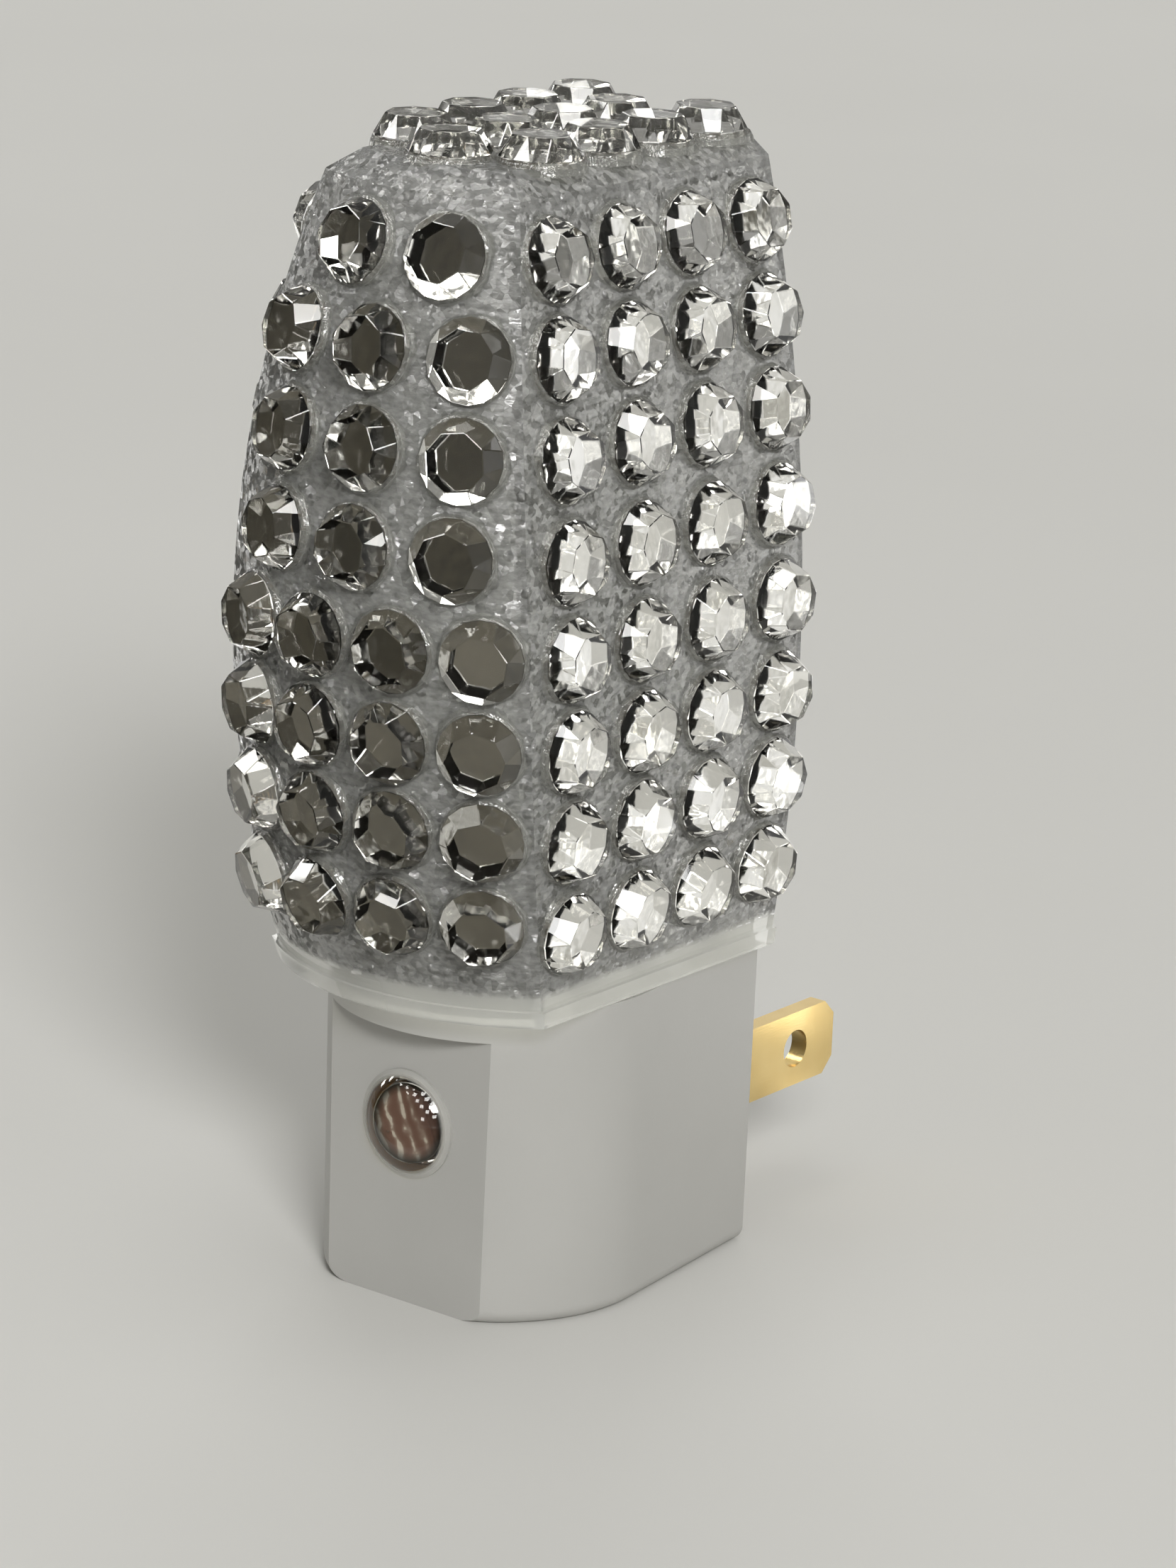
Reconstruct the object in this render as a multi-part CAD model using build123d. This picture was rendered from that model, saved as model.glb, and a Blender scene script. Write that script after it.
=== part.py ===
from build123d import *
from math import acos, atan2, cos, degrees, hypot, radians, sin, sqrt
import os

# A plug-in night light: a white moulded base that carries two blades, a light sensor and a
# candelabra lamp, under a clear barrel-shaped shade covered with faceted stones.
# Millimetres. The origin is the middle of the plug face, between the blades.
# +X is to the right seen from the front, +Y is the way the blades point and +Z is up.

# Plug blades, to the sizes of a two-blade household plug
blade_spacing = 12.7
blade_thickness = 1.5
blade_length = 17.0
hot_blade_width = 6.35
neutral_blade_width = 7.94
blade_chamfer = 1.3
blade_hole_diameter = 3.2
blade_hole_distance = 11.7
blade_shoulder = 1.0
blade_shoulder_depth = 1.6
blade_tail_width = 4.0
blade_tail_length = 2.6
blade_slot_gap = 0.05

# Moulded base
base_width = 27.0
base_rear_width = 23.4
base_depth = 32.5
base_height = 25.7
plug_height = 12.2
collar_height = 2.5
flat_setback = 2.6
housing_wall = 1.8
housing_draft = 0.4
bottom_round = 1.2
cover_thickness = 2.4
cover_proud = 0.8
cover_gap = 0.12

# Cover screws and their bosses
screw_spacing = 15.2
screw_radius = 1.0
screw_head_radius = 1.9
screw_head_height = 1.3
screw_length = 6.2
screw_clearance = 0.25
screw_recess_width = 0.5
screw_recess_length = 2.2
screw_recess_depth = 0.7
boss_wall = 1.3
boss_length = 4.9
boss_rib = 1.6

# Light sensor
sensor_height = 2.6
lens_diameter = 8.8
lens_dome = 1.9
lens_edge = 0.5
lens_barrel_diameter = 6.8
lens_inner_reach = 0.9
lens_gap = 0.1
cell_diameter = 5.0
cell_thickness = 1.8
cell_gap = 0.1
lead_radius = 0.25
lead_spacing = 2.6

# Circuit board and what is soldered to it
board_thickness = 1.2
board_width = 16.0
board_margin = 1.0
board_standoff = 2.2
stake_radius = 0.6
stake_foot_radius = 1.2
stake_inset = 1.8
stake_gap = 0.05
stake_head = 0.5
thyristor_radius = 2.3
thyristor_flat = 1.65
thyristor_length = 4.6
thyristor_lift = 1.4
thyristor_lead_pitch = 1.27
resistor_radius = 1.15
resistor_length = 5.4
resistor_bend = 0.6
resistor_pitch = 3.2
component_drop = 5.2
component_offset = 4.2
wire_radius = 0.7
wire_bend = 1.2
wire_drop = 1.4

# Lamp socket
lamp_setback = 14.5
socket_tower = 5.0
socket_depth = 20.0
socket_floor = 2.0
socket_wall = 1.1
socket_flange = 1.4
socket_flange_height = 1.2
socket_hole_gap = 0.15
socket_liner = 0.3
socket_liner_gap = 0.15
socket_liner_recess = 0.8
socket_lip = 1.8
contact_pin_radius = 0.9
contact_head_radius = 2.2
contact_height = 1.4
terminal_reach = 2.2
terminal_width = 2.4
terminal_thickness = 0.4

# Candelabra lamp
cap_radius = 5.85
cap_running_gap = 0.2
cap_height = 15.0
cap_wall = 0.3
lamp_length = 54.0
lamp_diameter = 22.0
lamp_belly_height = 14.0
lamp_crown_diameter = 14.5
lamp_crown_height = 28.5
glass_wall = 0.6
glass_neck_gap = 0.1
glass_in_cap = 6.5
lamp_tip_radius = 2.0
lamp_tip_height = 0.8
lamp_insulator_height = 1.7
lamp_insulator_radius = 2.7
tip_gap = 0.05
contact_gap = 0.1
stem_radius = 1.6
stem_height = 9.0
support_radius = 0.3
support_spread = 4.6
support_height = 11.0
filament_radius = 0.2
filament_rise = 2.2

# Clear shade
shade_width = 29.2
shade_reach = 24.5
shade_height = 62.8
shade_wall = 1.3
shade_rear_gap = 1.0
shade_seat_gap = 0.1
side_bulge_height = 22.4
side_bulge_radius = 156.0
front_bulge_height = 30.0
front_bulge_radius = 95.0
crown_rise = 1.7
crown_inset = 2.4
rim_bead = 0.4
rim_bead_height = 1.4
spigot_gap = 0.25
spigot_wall = 1.2
spigot_height = 3.4

# Faceted stones
stone_diameter = 6.5
stone_sides = 8
stone_height = 2.2
stone_girdle = 0.5
stone_table = 4.3
stone_seat = 0.03
front_band = 5.2
front_row_gap = 0.65
front_gap = 0.6
front_wide_gap = 1.5
front_crowded = 4
front_row_counts = (4, 4, 4, 4, 3, 3, 3, 2)
front_row_shifts = (0.4, 1.1, 1.2, 1.4, 1.3, 1.3, 0.7, 1.3)
side_band = 4.2
side_row_gap = 0.78
side_gap = 1.2
crown_gap = 0.2
stone_edge_margin = 0.15
stone_rear_margin = 0.2
stone_scatter = 0.18

# Places that follow from the sizes above
SIDES = (-1, 1)
liner_inner_radius = cap_radius + cap_running_gap
liner_outer_radius = liner_inner_radius + socket_liner
socket_inner_radius = liner_outer_radius + socket_liner_gap
socket_outer_radius = socket_inner_radius + socket_wall

# The lamp's axis and the board keep their distance from the flat that carries the sensor
nose_radius = base_width / 2
nose_y = nose_radius - base_depth
flat_y = flat_setback - base_depth
inner_flat_y = flat_y + housing_wall
board_front_y = inner_flat_y + board_standoff
board_rear_y = board_front_y + board_thickness
lamp_y = flat_y + lamp_setback
cover_inner_y = -cover_thickness
boss_end_y = cover_inner_y - boss_length
housing_rear_y = -cover_proud

# Heights and the remaining places
bottom_z = -plug_height
deck_z = bottom_z + base_height
ledge_z = deck_z - collar_height
floor_z = bottom_z + housing_wall
ceiling_z = deck_z - housing_wall
cover_mid_z = (floor_z + ceiling_z) / 2
screw_places = [(0, cover_mid_z + side * screw_spacing / 2) for side in SIDES]
boss_radius = screw_radius + boss_wall
board_low_z = floor_z + board_margin
board_high_z = ceiling_z - board_margin
stake_places = [
    (-board_width / 2 + stake_inset, board_high_z - stake_inset),
    (board_width / 2 - stake_inset, board_high_z - stake_inset),
    (-stake_radius, board_low_z + stake_inset),
]
tail_end_y = cover_inner_y - blade_shoulder_depth - blade_tail_length
socket_top_z = deck_z + socket_tower
socket_bottom_z = socket_top_z - socket_depth
socket_floor_z = socket_bottom_z + socket_floor
terminal_x = -(liner_outer_radius - socket_lip + terminal_thickness)
terminal_low_z = socket_bottom_z - terminal_reach
wire_z = socket_bottom_z - wire_drop
lamp_tip_z = socket_floor_z + contact_height + contact_gap
insulator_low_z = lamp_tip_z + lamp_tip_height + tip_gap
cap_low_z = insulator_low_z + lamp_insulator_height
cap_top_z = cap_low_z + cap_height
glass_low_z = cap_top_z - glass_in_cap
lamp_top_z = lamp_tip_z + lamp_length
neck_radius = cap_radius - cap_wall - glass_neck_gap
rim_z = deck_z + shade_seat_gap
shade_edge_z = rim_z + shade_height
crown_z = shade_edge_z + crown_rise
side_bulge_z = rim_z + side_bulge_height
front_bulge_z = rim_z + front_bulge_height
shade_rear_y = -shade_rear_gap
stone_radius = stone_diameter / 2


def along_y(radius, x, z, start_y, end_y):
    """A round bar along Y, from start_y to end_y."""
    bar = Cylinder(radius, end_y - start_y, align=(Align.CENTER, Align.CENTER, Align.MIN))
    return Pos(x, start_y, z) * Rot(-90, 0, 0) * bar


def along_z(radius, low_z, high_z, x=0, y=lamp_y):
    """A round bar along Z, on the lamp's axis unless another place is given."""
    bar = Cylinder(radius, high_z - low_z, align=(Align.CENTER, Align.CENTER, Align.MIN))
    return Pos(x, y, low_z) * bar


def block(low, high):
    """A box between two opposite corners."""
    size = [b - a for a, b in zip(low, high)]
    return Pos(*low) * Box(*size, align=(Align.MIN, Align.MIN, Align.MIN))


def turned(points):
    """A solid turned about the lamp's axis from (radius, height) points."""
    face = make_face(Plane.XZ * Polyline(*points, close=True))
    return Pos(0, lamp_y, 0) * revolve(face, Axis.Z)


def turned_tube(outer_radius, inner_radius, low_z, high_z):
    """A round sleeve on the lamp's axis."""
    return along_z(outer_radius, low_z, high_z) - along_z(inner_radius, low_z, high_z)


def base_plan(inset, rear_y):
    """The base seen from above: a round nose, and sides that close in towards the plug face."""
    radius = nose_radius - inset
    rear_half = base_rear_width / 2 - inset
    reach = hypot(rear_half, rear_y - nose_y)
    touch = atan2(rear_y - nose_y, rear_half) - acos(radius / reach)
    side_x = radius * cos(touch)
    side_y = nose_y + radius * sin(touch)
    outline = [
        Line((rear_half, rear_y), (side_x, side_y)),
        ThreePointArc((side_x, side_y), (0, nose_y - radius), (-side_x, side_y)),
        Line((-side_x, side_y), (-rear_half, rear_y)),
        Line((-rear_half, rear_y), (rear_half, rear_y)),
    ]
    return make_face(outline)


def bulge(height, middle, radius):
    """How far a bulged wall has drawn in at this height."""
    return radius - sqrt(radius**2 - (height - middle) ** 2)


def side_half_width(height):
    """Half the shade's width at this height."""
    return shade_width / 2 - bulge(height, side_bulge_z, side_bulge_radius)


def front_radius(height):
    """Distance of the shade's bowed front from the lamp's axis at this height."""
    return shade_reach - bulge(height, front_bulge_z, front_bulge_radius)


def bulged_profile(widest, middle, radius, grow, low_z, edge_z, top_z):
    """Upright half profile of the shade: a bulged wall, a sloped shoulder and a flat crown."""
    arc_radius = radius + grow

    def out(height):
        return widest + grow - bulge(height, middle, arc_radius)

    shoulder = widest - bulge(shade_edge_z, middle, radius) - crown_inset
    half_z = (low_z + edge_z) / 2
    wall = ThreePointArc((out(low_z), low_z), (out(half_z), half_z), (out(edge_z), edge_z))
    lines = Polyline(
        (out(edge_z), edge_z), (shoulder, top_z), (0, top_z), (0, low_z), (out(low_z), low_z)
    )
    return make_face([Plane.XZ * wall, Plane.XZ * lines])


def shade_form(grow, low_z, edge_z, top_z, rear_y):
    """The shade's solid form, grown or shrunk: a bowed front cut by two bulged sides."""
    heights = (low_z, edge_z, top_z)
    front = bulged_profile(shade_reach, front_bulge_z, front_bulge_radius, grow, *heights)
    nose = Pos(0, lamp_y, 0) * revolve(front, Axis.Z, -180)
    span = shade_width + shade_reach
    rear = block((-span, lamp_y, low_z), (span, rear_y, top_z))
    half = bulged_profile(
        shade_width / 2, side_bulge_z, side_bulge_radius, grow, *heights
    )
    half_slab = extrude(half, amount=span, both=True)
    slab = half_slab + mirror(half_slab, about=Plane.YZ)
    return (nose + rear) & slab


def plain_form(grow, low_z, high_z, rear_y):
    """A slice of the shade's form between two heights."""
    return shade_form(grow, low_z, high_z, high_z, rear_y)


def shade():
    """Clear moulded shade, open below and behind, with a small bead round its rim."""
    outer = shade_form(0, rim_z, shade_edge_z, crown_z, shade_rear_y)
    bead = plain_form(rim_bead, rim_z, rim_z + rim_bead_height, shade_rear_y)
    room = shade_form(
        -shade_wall, rim_z, shade_edge_z - shade_wall, crown_z - shade_wall, 0
    )
    return outer + bead - room


def spigot_plan(inset, rear_y):
    """The inside of the shade's rim seen from above, drawn in by a distance."""
    radius = front_radius(rim_z) - shade_wall - inset
    width = 2 * (side_half_width(rim_z) - shade_wall - inset)
    corner = (Align.CENTER, Align.MIN)
    nose = Pos(0, lamp_y - radius) * Rectangle(width, radius, align=corner)
    rear = Pos(0, lamp_y) * Rectangle(width, rear_y - lamp_y, align=corner)
    return (Pos(0, lamp_y) * Circle(radius) & nose) + rear


def seat_plan():
    """What of the shade's rim must have deck under it, behind the nose."""
    behind = Pos(0, nose_y) * Rectangle(
        2 * shade_width, base_depth, align=(Align.CENTER, Align.MIN)
    )
    return spigot_plan(spigot_gap, housing_rear_y) & behind


def spigot():
    """Low upright wall on the deck, open behind, which the shade's rim drops over."""
    plan = spigot_plan(spigot_gap, shade_rear_y - spigot_wall)
    plan &= base_plan(spigot_gap, housing_rear_y) + seat_plan()
    plan -= spigot_plan(spigot_gap + spigot_wall, 0)
    return Pos(0, 0, deck_z) * extrude(plan, amount=spigot_height)


def cavity():
    """The room inside the base, open at the plug face."""
    room = extrude(base_plan(housing_wall, 0), amount=ceiling_z - floor_z)
    front = block((-base_width, inner_flat_y, floor_z), (base_width, 0, ceiling_z))
    return (Pos(0, 0, floor_z) * room) & front


def screw_boss(z):
    """A boss for a cover screw, joined by a rib to the nearer wall."""
    wall_z = ceiling_z if z > cover_mid_z else floor_z
    low_z, high_z = sorted((z, wall_z))
    rib = block((-boss_rib / 2, boss_end_y, low_z), (boss_rib / 2, cover_inner_y, high_z))
    return along_y(boss_radius, 0, z, boss_end_y, cover_inner_y) + rib


def board_stake(x, z):
    """A foot that the circuit board stands on, and the stake that holds it."""
    foot = along_y(stake_foot_radius, x, z, inner_flat_y, board_front_y)
    return foot + along_y(stake_radius, x, z, inner_flat_y, board_rear_y + stake_head)


def front_housing():
    """White base shell, with a flat for the sensor under a round collar."""
    plan = base_plan(base_height * sin(radians(housing_draft)), housing_rear_y)
    shell = Pos(0, 0, bottom_z) * extrude(plan, amount=base_height, taper=-housing_draft)
    low_edges = shell.edges().group_by(Axis.Z)[0].sort_by(Axis.Y)[:-1]
    shell = fillet(low_edges, bottom_round)
    front = (-base_width, -2 * base_depth, bottom_z - 1)
    shell -= block(front, (base_width, flat_y, ledge_z))
    shell -= block((-base_width, housing_rear_y, bottom_z - 1), (base_width, 1, deck_z + 1))
    shell += Pos(0, 0, ledge_z) * extrude(seat_plan(), amount=collar_height)
    shell -= cavity()
    for x, z in screw_places:
        shell += screw_boss(z)
    for x, z in stake_places:
        shell += board_stake(x, z)
    shell += spigot()
    hole_radius = lens_barrel_diameter / 2 + lens_gap
    shell -= along_y(hole_radius, 0, sensor_height, flat_y - 1, inner_flat_y + 1)
    shell -= along_z(socket_outer_radius + socket_hole_gap, ceiling_z - 1, deck_z + 1)
    for x, z in screw_places:
        shell -= along_y(screw_radius, x, z, boss_end_y, cover_inner_y + 1)
    return shell


def blade_slot(x, width):
    """The hole in the cover for one blade."""
    half_x = blade_thickness / 2 + blade_slot_gap
    half_z = width / 2 + blade_slot_gap
    low = (x - half_x, cover_inner_y - 1, -half_z)
    return block(low, (x + half_x, 1, half_z))


def rear_cover():
    """Flat cover that closes the base and carries the blades."""
    half_x = base_rear_width / 2 - housing_wall - cover_gap
    low = (-half_x, cover_inner_y, floor_z + cover_gap)
    cover = block(low, (half_x, 0, ceiling_z - cover_gap))
    cover = fillet(cover.edges().filter_by(Axis.Y), cover_gap)
    cover -= blade_slot(blade_spacing / 2, hot_blade_width)
    cover -= blade_slot(-blade_spacing / 2, neutral_blade_width)
    for x, z in screw_places:
        seat_radius = screw_head_radius + screw_clearance
        cover -= along_y(seat_radius, x, z, -screw_head_height, 1)
        hole_radius = screw_radius + screw_clearance
        cover -= along_y(hole_radius, x, z, cover_inner_y - 1, 1)
    return cover


def blade(x, width):
    """One plug blade: a rounded prong outside, a shoulder and a solder tail inside."""
    half = width / 2
    shoulder = half + blade_shoulder
    shoulder_y = cover_inner_y - blade_shoulder_depth
    tail = blade_tail_width / 2
    tip = half - blade_chamfer
    side = [
        (tail_end_y, tail),
        (shoulder_y, tail),
        (shoulder_y, shoulder),
        (cover_inner_y, shoulder),
        (cover_inner_y, half),
        (blade_length - blade_chamfer, half),
        (blade_length, tip),
    ]
    outline = side + [(y, -z) for y, z in reversed(side)]
    face = make_face(Plane.YZ * Polyline(*outline, close=True))
    hole = Plane.YZ * Pos(blade_hole_distance, 0) * Circle(blade_hole_diameter / 2)
    return Pos(x, 0, 0) * extrude(face - hole, amount=blade_thickness / 2, both=True)


def cover_screw(x, z):
    """A self-tapping screw with a cross recess, its head let into the cover."""
    head_y = -screw_head_height
    screw = along_y(screw_head_radius, x, z, head_y, 0)
    screw += along_y(screw_radius, x, z, head_y - screw_length, head_y)
    for wide, tall in ((1, 0), (0, 1)):
        reach = screw_recess_length / 2
        half_x = reach if wide else screw_recess_width / 2
        half_z = reach if tall else screw_recess_width / 2
        low = (x - half_x, -screw_recess_depth, z - half_z)
        screw -= block(low, (x + half_x, 1, z + half_z))
    return screw


def sensor_lens():
    """Clear domed window of the light sensor, with a barrel through the base's wall."""
    edge_y = flat_y - lens_edge
    half = lens_diameter / 2
    rise = half - lens_edge
    dome_radius = (rise**2 + lens_dome**2) / (2 * lens_dome)
    half_angle = acos((dome_radius - lens_dome) / dome_radius) / 2
    top_y = edge_y - lens_dome
    mid = (dome_radius * sin(half_angle), top_y + dome_radius * (1 - cos(half_angle)))
    barrel = lens_barrel_diameter / 2
    inner_y = inner_flat_y + lens_inner_reach
    pocket = cell_diameter / 2 + cell_gap
    pocket_y = inner_y - cell_thickness
    dome = ThreePointArc((0, top_y), mid, (rise, edge_y))
    rim = Polyline(
        (rise, edge_y),
        (half, edge_y + lens_edge / 2),
        (half, flat_y),
        (barrel, flat_y),
        (barrel, inner_y),
        (pocket, inner_y),
        (pocket, pocket_y),
        (0, pocket_y),
        (0, top_y),
    )
    return Pos(0, 0, sensor_height) * revolve(make_face([dome, rim]), Axis.Y)


def photocell():
    """Light-dependent resistor in the lens, with two leads to the board."""
    inner_y = inner_flat_y + lens_inner_reach
    cell = along_y(cell_diameter / 2, 0, sensor_height, inner_y - cell_thickness, inner_y)
    for side in SIDES:
        x = side * lead_spacing / 2
        cell += along_y(lead_radius, x, sensor_height, inner_y - lead_radius, board_front_y)
    return cell


def circuit_board():
    """Small upright board, held on three stakes behind the sensor."""
    low = (-board_width / 2, board_front_y, board_low_z)
    board = block(low, (board_width / 2, board_rear_y, board_high_z))
    for x, z in stake_places:
        board -= along_y(stake_radius + stake_gap, x, z, board_front_y - 1, board_rear_y + 1)
    return board


def thyristor():
    """Three-lead switch that turns the lamp on and off, standing off the board."""
    z = socket_bottom_z - component_drop
    start_y = board_rear_y + thyristor_lift
    end_y = start_y + thyristor_length
    body = along_y(thyristor_radius, 0, 0, start_y, end_y)
    face_z = thyristor_flat
    low = (-2 * thyristor_radius, start_y - 1, face_z)
    body -= block(low, (2 * thyristor_radius, end_y + 1, face_z + thyristor_radius))
    for lead in (-1, 0, 1):
        x = lead * thyristor_lead_pitch
        body += along_y(lead_radius, x, 0, board_rear_y, start_y + lead_radius)
    return Pos(-component_offset, 0, z) * body


def resistor(z):
    """A small resistor along the board, its leads bent into it."""
    half = resistor_length / 2
    y = board_rear_y + resistor_radius
    body = Pos(0, y, 0) * Rot(0, 90, 0) * Cylinder(resistor_radius, resistor_length)
    ends = half + resistor_bend
    body += Pos(0, y, 0) * Rot(0, 90, 0) * Cylinder(lead_radius, 2 * ends)
    for side in SIDES:
        body += along_y(lead_radius, side * ends, 0, board_rear_y, y + lead_radius)
    return Pos(component_offset, 0, z) * body


def resistors():
    """The two resistors that set the light level at which the lamp comes on."""
    top_z = socket_bottom_z - component_drop + resistor_pitch / 2
    return [resistor(top_z), resistor(top_z - resistor_pitch)]


def wire(points):
    """An insulated wire with rounded bends."""
    path = FilletPolyline(*points, radius=wire_bend) if len(points) > 2 else Line(*points)
    return sweep(Plane(path @ 0, z_dir=path % 0) * Circle(wire_radius), path)


def blade_wire(side, end):
    """A wire from one blade's tail, down beside the socket and under it."""
    x = side * blade_spacing / 2
    tail_z = -blade_tail_width / 2 + wire_radius
    turn_y = (tail_end_y + lamp_y) / 2
    points = [
        (x, tail_end_y, tail_z),
        (x, tail_end_y - 2 * wire_bend, tail_z),
        (end[0], turn_y, wire_z),
        (end[0], end[1], wire_z),
    ]
    return wire(points)


def wire_line():
    """Wire from the hot blade to the board."""
    return blade_wire(1, (blade_spacing / 2 - 3 * wire_radius / 2, board_rear_y))


def wire_neutral():
    """Wire from the neutral blade to the screw shell's terminal."""
    return blade_wire(-1, (terminal_x, lamp_y + terminal_width / 2))


def wire_lamp():
    """Wire from the board to the socket's centre contact."""
    pin_y = lamp_y - contact_pin_radius - tip_gap
    return wire([(0, board_rear_y, wire_z), (0, pin_y, wire_z)])


def terminal(gap):
    """The strip of the screw shell that goes down through the socket's floor."""
    half_x = terminal_thickness / 2 + gap
    half_y = terminal_width / 2 + gap
    low = (terminal_x - half_x, lamp_y - half_y, terminal_low_z)
    return block(low, (terminal_x + half_x, lamp_y + half_y, socket_floor_z + socket_liner))


def socket_insulator():
    """Moulded cup that holds the lamp's contacts, dropped into the deck."""
    cup = along_z(socket_outer_radius, socket_bottom_z, socket_top_z)
    flange_radius = socket_outer_radius + socket_flange
    cup += along_z(flange_radius, deck_z, deck_z + socket_flange_height)
    cup -= along_z(socket_inner_radius, socket_floor_z, socket_top_z + 1)
    cup -= along_z(contact_pin_radius + tip_gap, socket_bottom_z - 1, socket_floor_z + 1)
    return cup - terminal(tip_gap)


def socket_shell():
    """Brass screw shell, on the socket's floor, with its solder terminal."""
    top_z = socket_top_z - socket_liner_recess
    shell = turned_tube(liner_outer_radius, liner_inner_radius, socket_floor_z, top_z)
    lip_radius = liner_outer_radius - socket_lip
    lip_z = socket_floor_z + socket_liner
    shell += turned_tube(liner_outer_radius, lip_radius, socket_floor_z, lip_z)
    return shell + terminal(0)


def socket_contact():
    """Centre contact: a sprung cone on a pin through the socket's floor."""
    top_z = socket_floor_z + contact_height
    points = [
        (0, terminal_low_z),
        (contact_pin_radius, terminal_low_z),
        (contact_pin_radius, socket_floor_z),
        (contact_head_radius, socket_floor_z),
        (contact_head_radius, socket_floor_z + socket_liner),
        (contact_pin_radius, top_z),
        (0, top_z),
    ]
    return turned(points)


def lamp_tip():
    """Solder button at the lamp's foot."""
    high_z = lamp_tip_z + lamp_tip_height
    half = lamp_tip_radius / 2
    shoulder_z = lamp_tip_z + lamp_tip_height / 2
    points = [
        (0, lamp_tip_z),
        (half, lamp_tip_z),
        (lamp_tip_radius, shoulder_z),
        (lamp_tip_radius, high_z),
        (0, high_z),
    ]
    return turned(points)


def lamp_insulator():
    """Dark glass cone between the tip and the screw cap."""
    points = [
        (0, insulator_low_z),
        (lamp_insulator_radius, insulator_low_z),
        (cap_radius - cap_wall, cap_low_z),
        (0, cap_low_z),
    ]
    return turned(points)


def lamp_cap():
    """Metal screw cap of the lamp."""
    cap = along_z(cap_radius, cap_low_z, cap_top_z)
    return cap - along_z(cap_radius - cap_wall, cap_low_z + cap_wall, cap_top_z + 1)


def glass_profile(shrink):
    """Half profile of the lamp's glass: a neck, a round belly and a pointed crown."""
    belly = lamp_diameter / 2 - shrink
    neck = neck_radius - shrink
    top_z = lamp_top_z - shrink
    curve = Spline(
        (neck, cap_top_z),
        (belly, cap_top_z + lamp_belly_height),
        (lamp_crown_diameter / 2 - shrink, cap_top_z + lamp_crown_height),
        (0, top_z),
        tangents=[(0.35, 1), (-1, 0)],
    )
    low_z = glass_low_z + shrink
    lines = Polyline((0, top_z), (0, low_z), (neck, low_z), (neck, cap_top_z))
    return make_face([Plane.XZ * curve, Plane.XZ * lines])


def lamp_glass():
    """Blown glass envelope of the lamp."""
    outer = revolve(glass_profile(0), Axis.Z)
    inner = revolve(glass_profile(glass_wall), Axis.Z)
    return Pos(0, lamp_y, 0) * (outer - inner)


def lamp_stem():
    """Pressed glass stem that carries the filament's supports."""
    foot_z = glass_low_z + glass_wall
    foot_radius = neck_radius - 2 * glass_wall
    points = [
        (0, foot_z),
        (foot_radius, foot_z),
        (foot_radius, foot_z + glass_wall),
        (stem_radius, cap_top_z),
        (stem_radius, cap_top_z + stem_height),
        (0, cap_top_z + stem_height),
    ]
    return turned(points)


def filament_ends():
    """Tops of the two supports."""
    z = cap_top_z + stem_height + support_height
    return [(side * support_spread, lamp_y, z) for side in SIDES]


def filament_supports():
    """The two stiff wires that hold the filament up."""
    supports = []
    for side, top in zip(SIDES, filament_ends()):
        foot_z = cap_top_z + stem_height + support_radius / 2
        foot = (side * stem_radius / 2, lamp_y, foot_z)
        path = Line(foot, top)
        supports.append(sweep(Plane(path @ 0, z_dir=path % 0) * Circle(support_radius), path))
    return supports


def filament():
    """The tungsten filament, arched from support to support."""
    left, right = [(x, y, z + support_radius) for x, y, z in filament_ends()]
    crest = (0, lamp_y, left[2] + filament_rise)
    path = ThreePointArc(left, crest, right)
    return sweep(Plane(path @ 0, z_dir=path % 0) * Circle(filament_radius), path)


def crown_frustum(low_apothem, high_apothem, turn):
    """A many-sided frustum from a stone's girdle up to its table."""
    faces = []
    for apothem, z in ((low_apothem, stone_girdle), (high_apothem, stone_height)):
        outline = RegularPolygon(apothem, stone_sides, major_radius=False, rotation=turn)
        faces.append(Pos(0, 0, z) * outline)
    return loft(faces, ruled=True)


def stone():
    """A flat-backed stone: a girdle, a ring of kites and corner facets, and a table."""
    half_turn = 180 / stone_sides
    table = stone_table / 2
    girdle = stone_radius * cos(radians(half_turn / 2))
    kites = crown_frustum(girdle, table, 0)
    corners = crown_frustum(girdle, table / cos(radians(half_turn)), half_turn)
    ring = RegularPolygon(
        girdle, 2 * stone_sides, major_radius=False, rotation=half_turn / 2
    )
    return (kites & corners) + extrude(ring, amount=stone_girdle)


def laid_stones(places):
    """Stones set on places given as (point, outward normal, turn in degrees)."""
    master = stone().solid()
    stones = []
    for point, normal, turn in places:
        seat = Plane(Vector(*point) + Vector(*normal) * stone_seat, z_dir=normal)
        stones.append(seat.location * Rot(0, 0, turn) * master)
    return stones


def scatter(number):
    """A small steady shift, so that the stones look laid by hand."""
    return stone_scatter * sin(12.9 * number)


def row_heights(band, gap):
    """Heights of the rows of stones, from a band above the rim up to the shade's edge."""
    first_z = rim_z + band + stone_radius
    pitch = stone_diameter + gap
    count = int((shade_edge_z - stone_radius - first_z) / pitch) + 1
    return [first_z + row * pitch for row in range(count)]


def crease(height):
    """Y of the upright crease between the shade's front and its side."""
    return lamp_y - sqrt(front_radius(height) ** 2 - side_half_width(height) ** 2)


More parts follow.
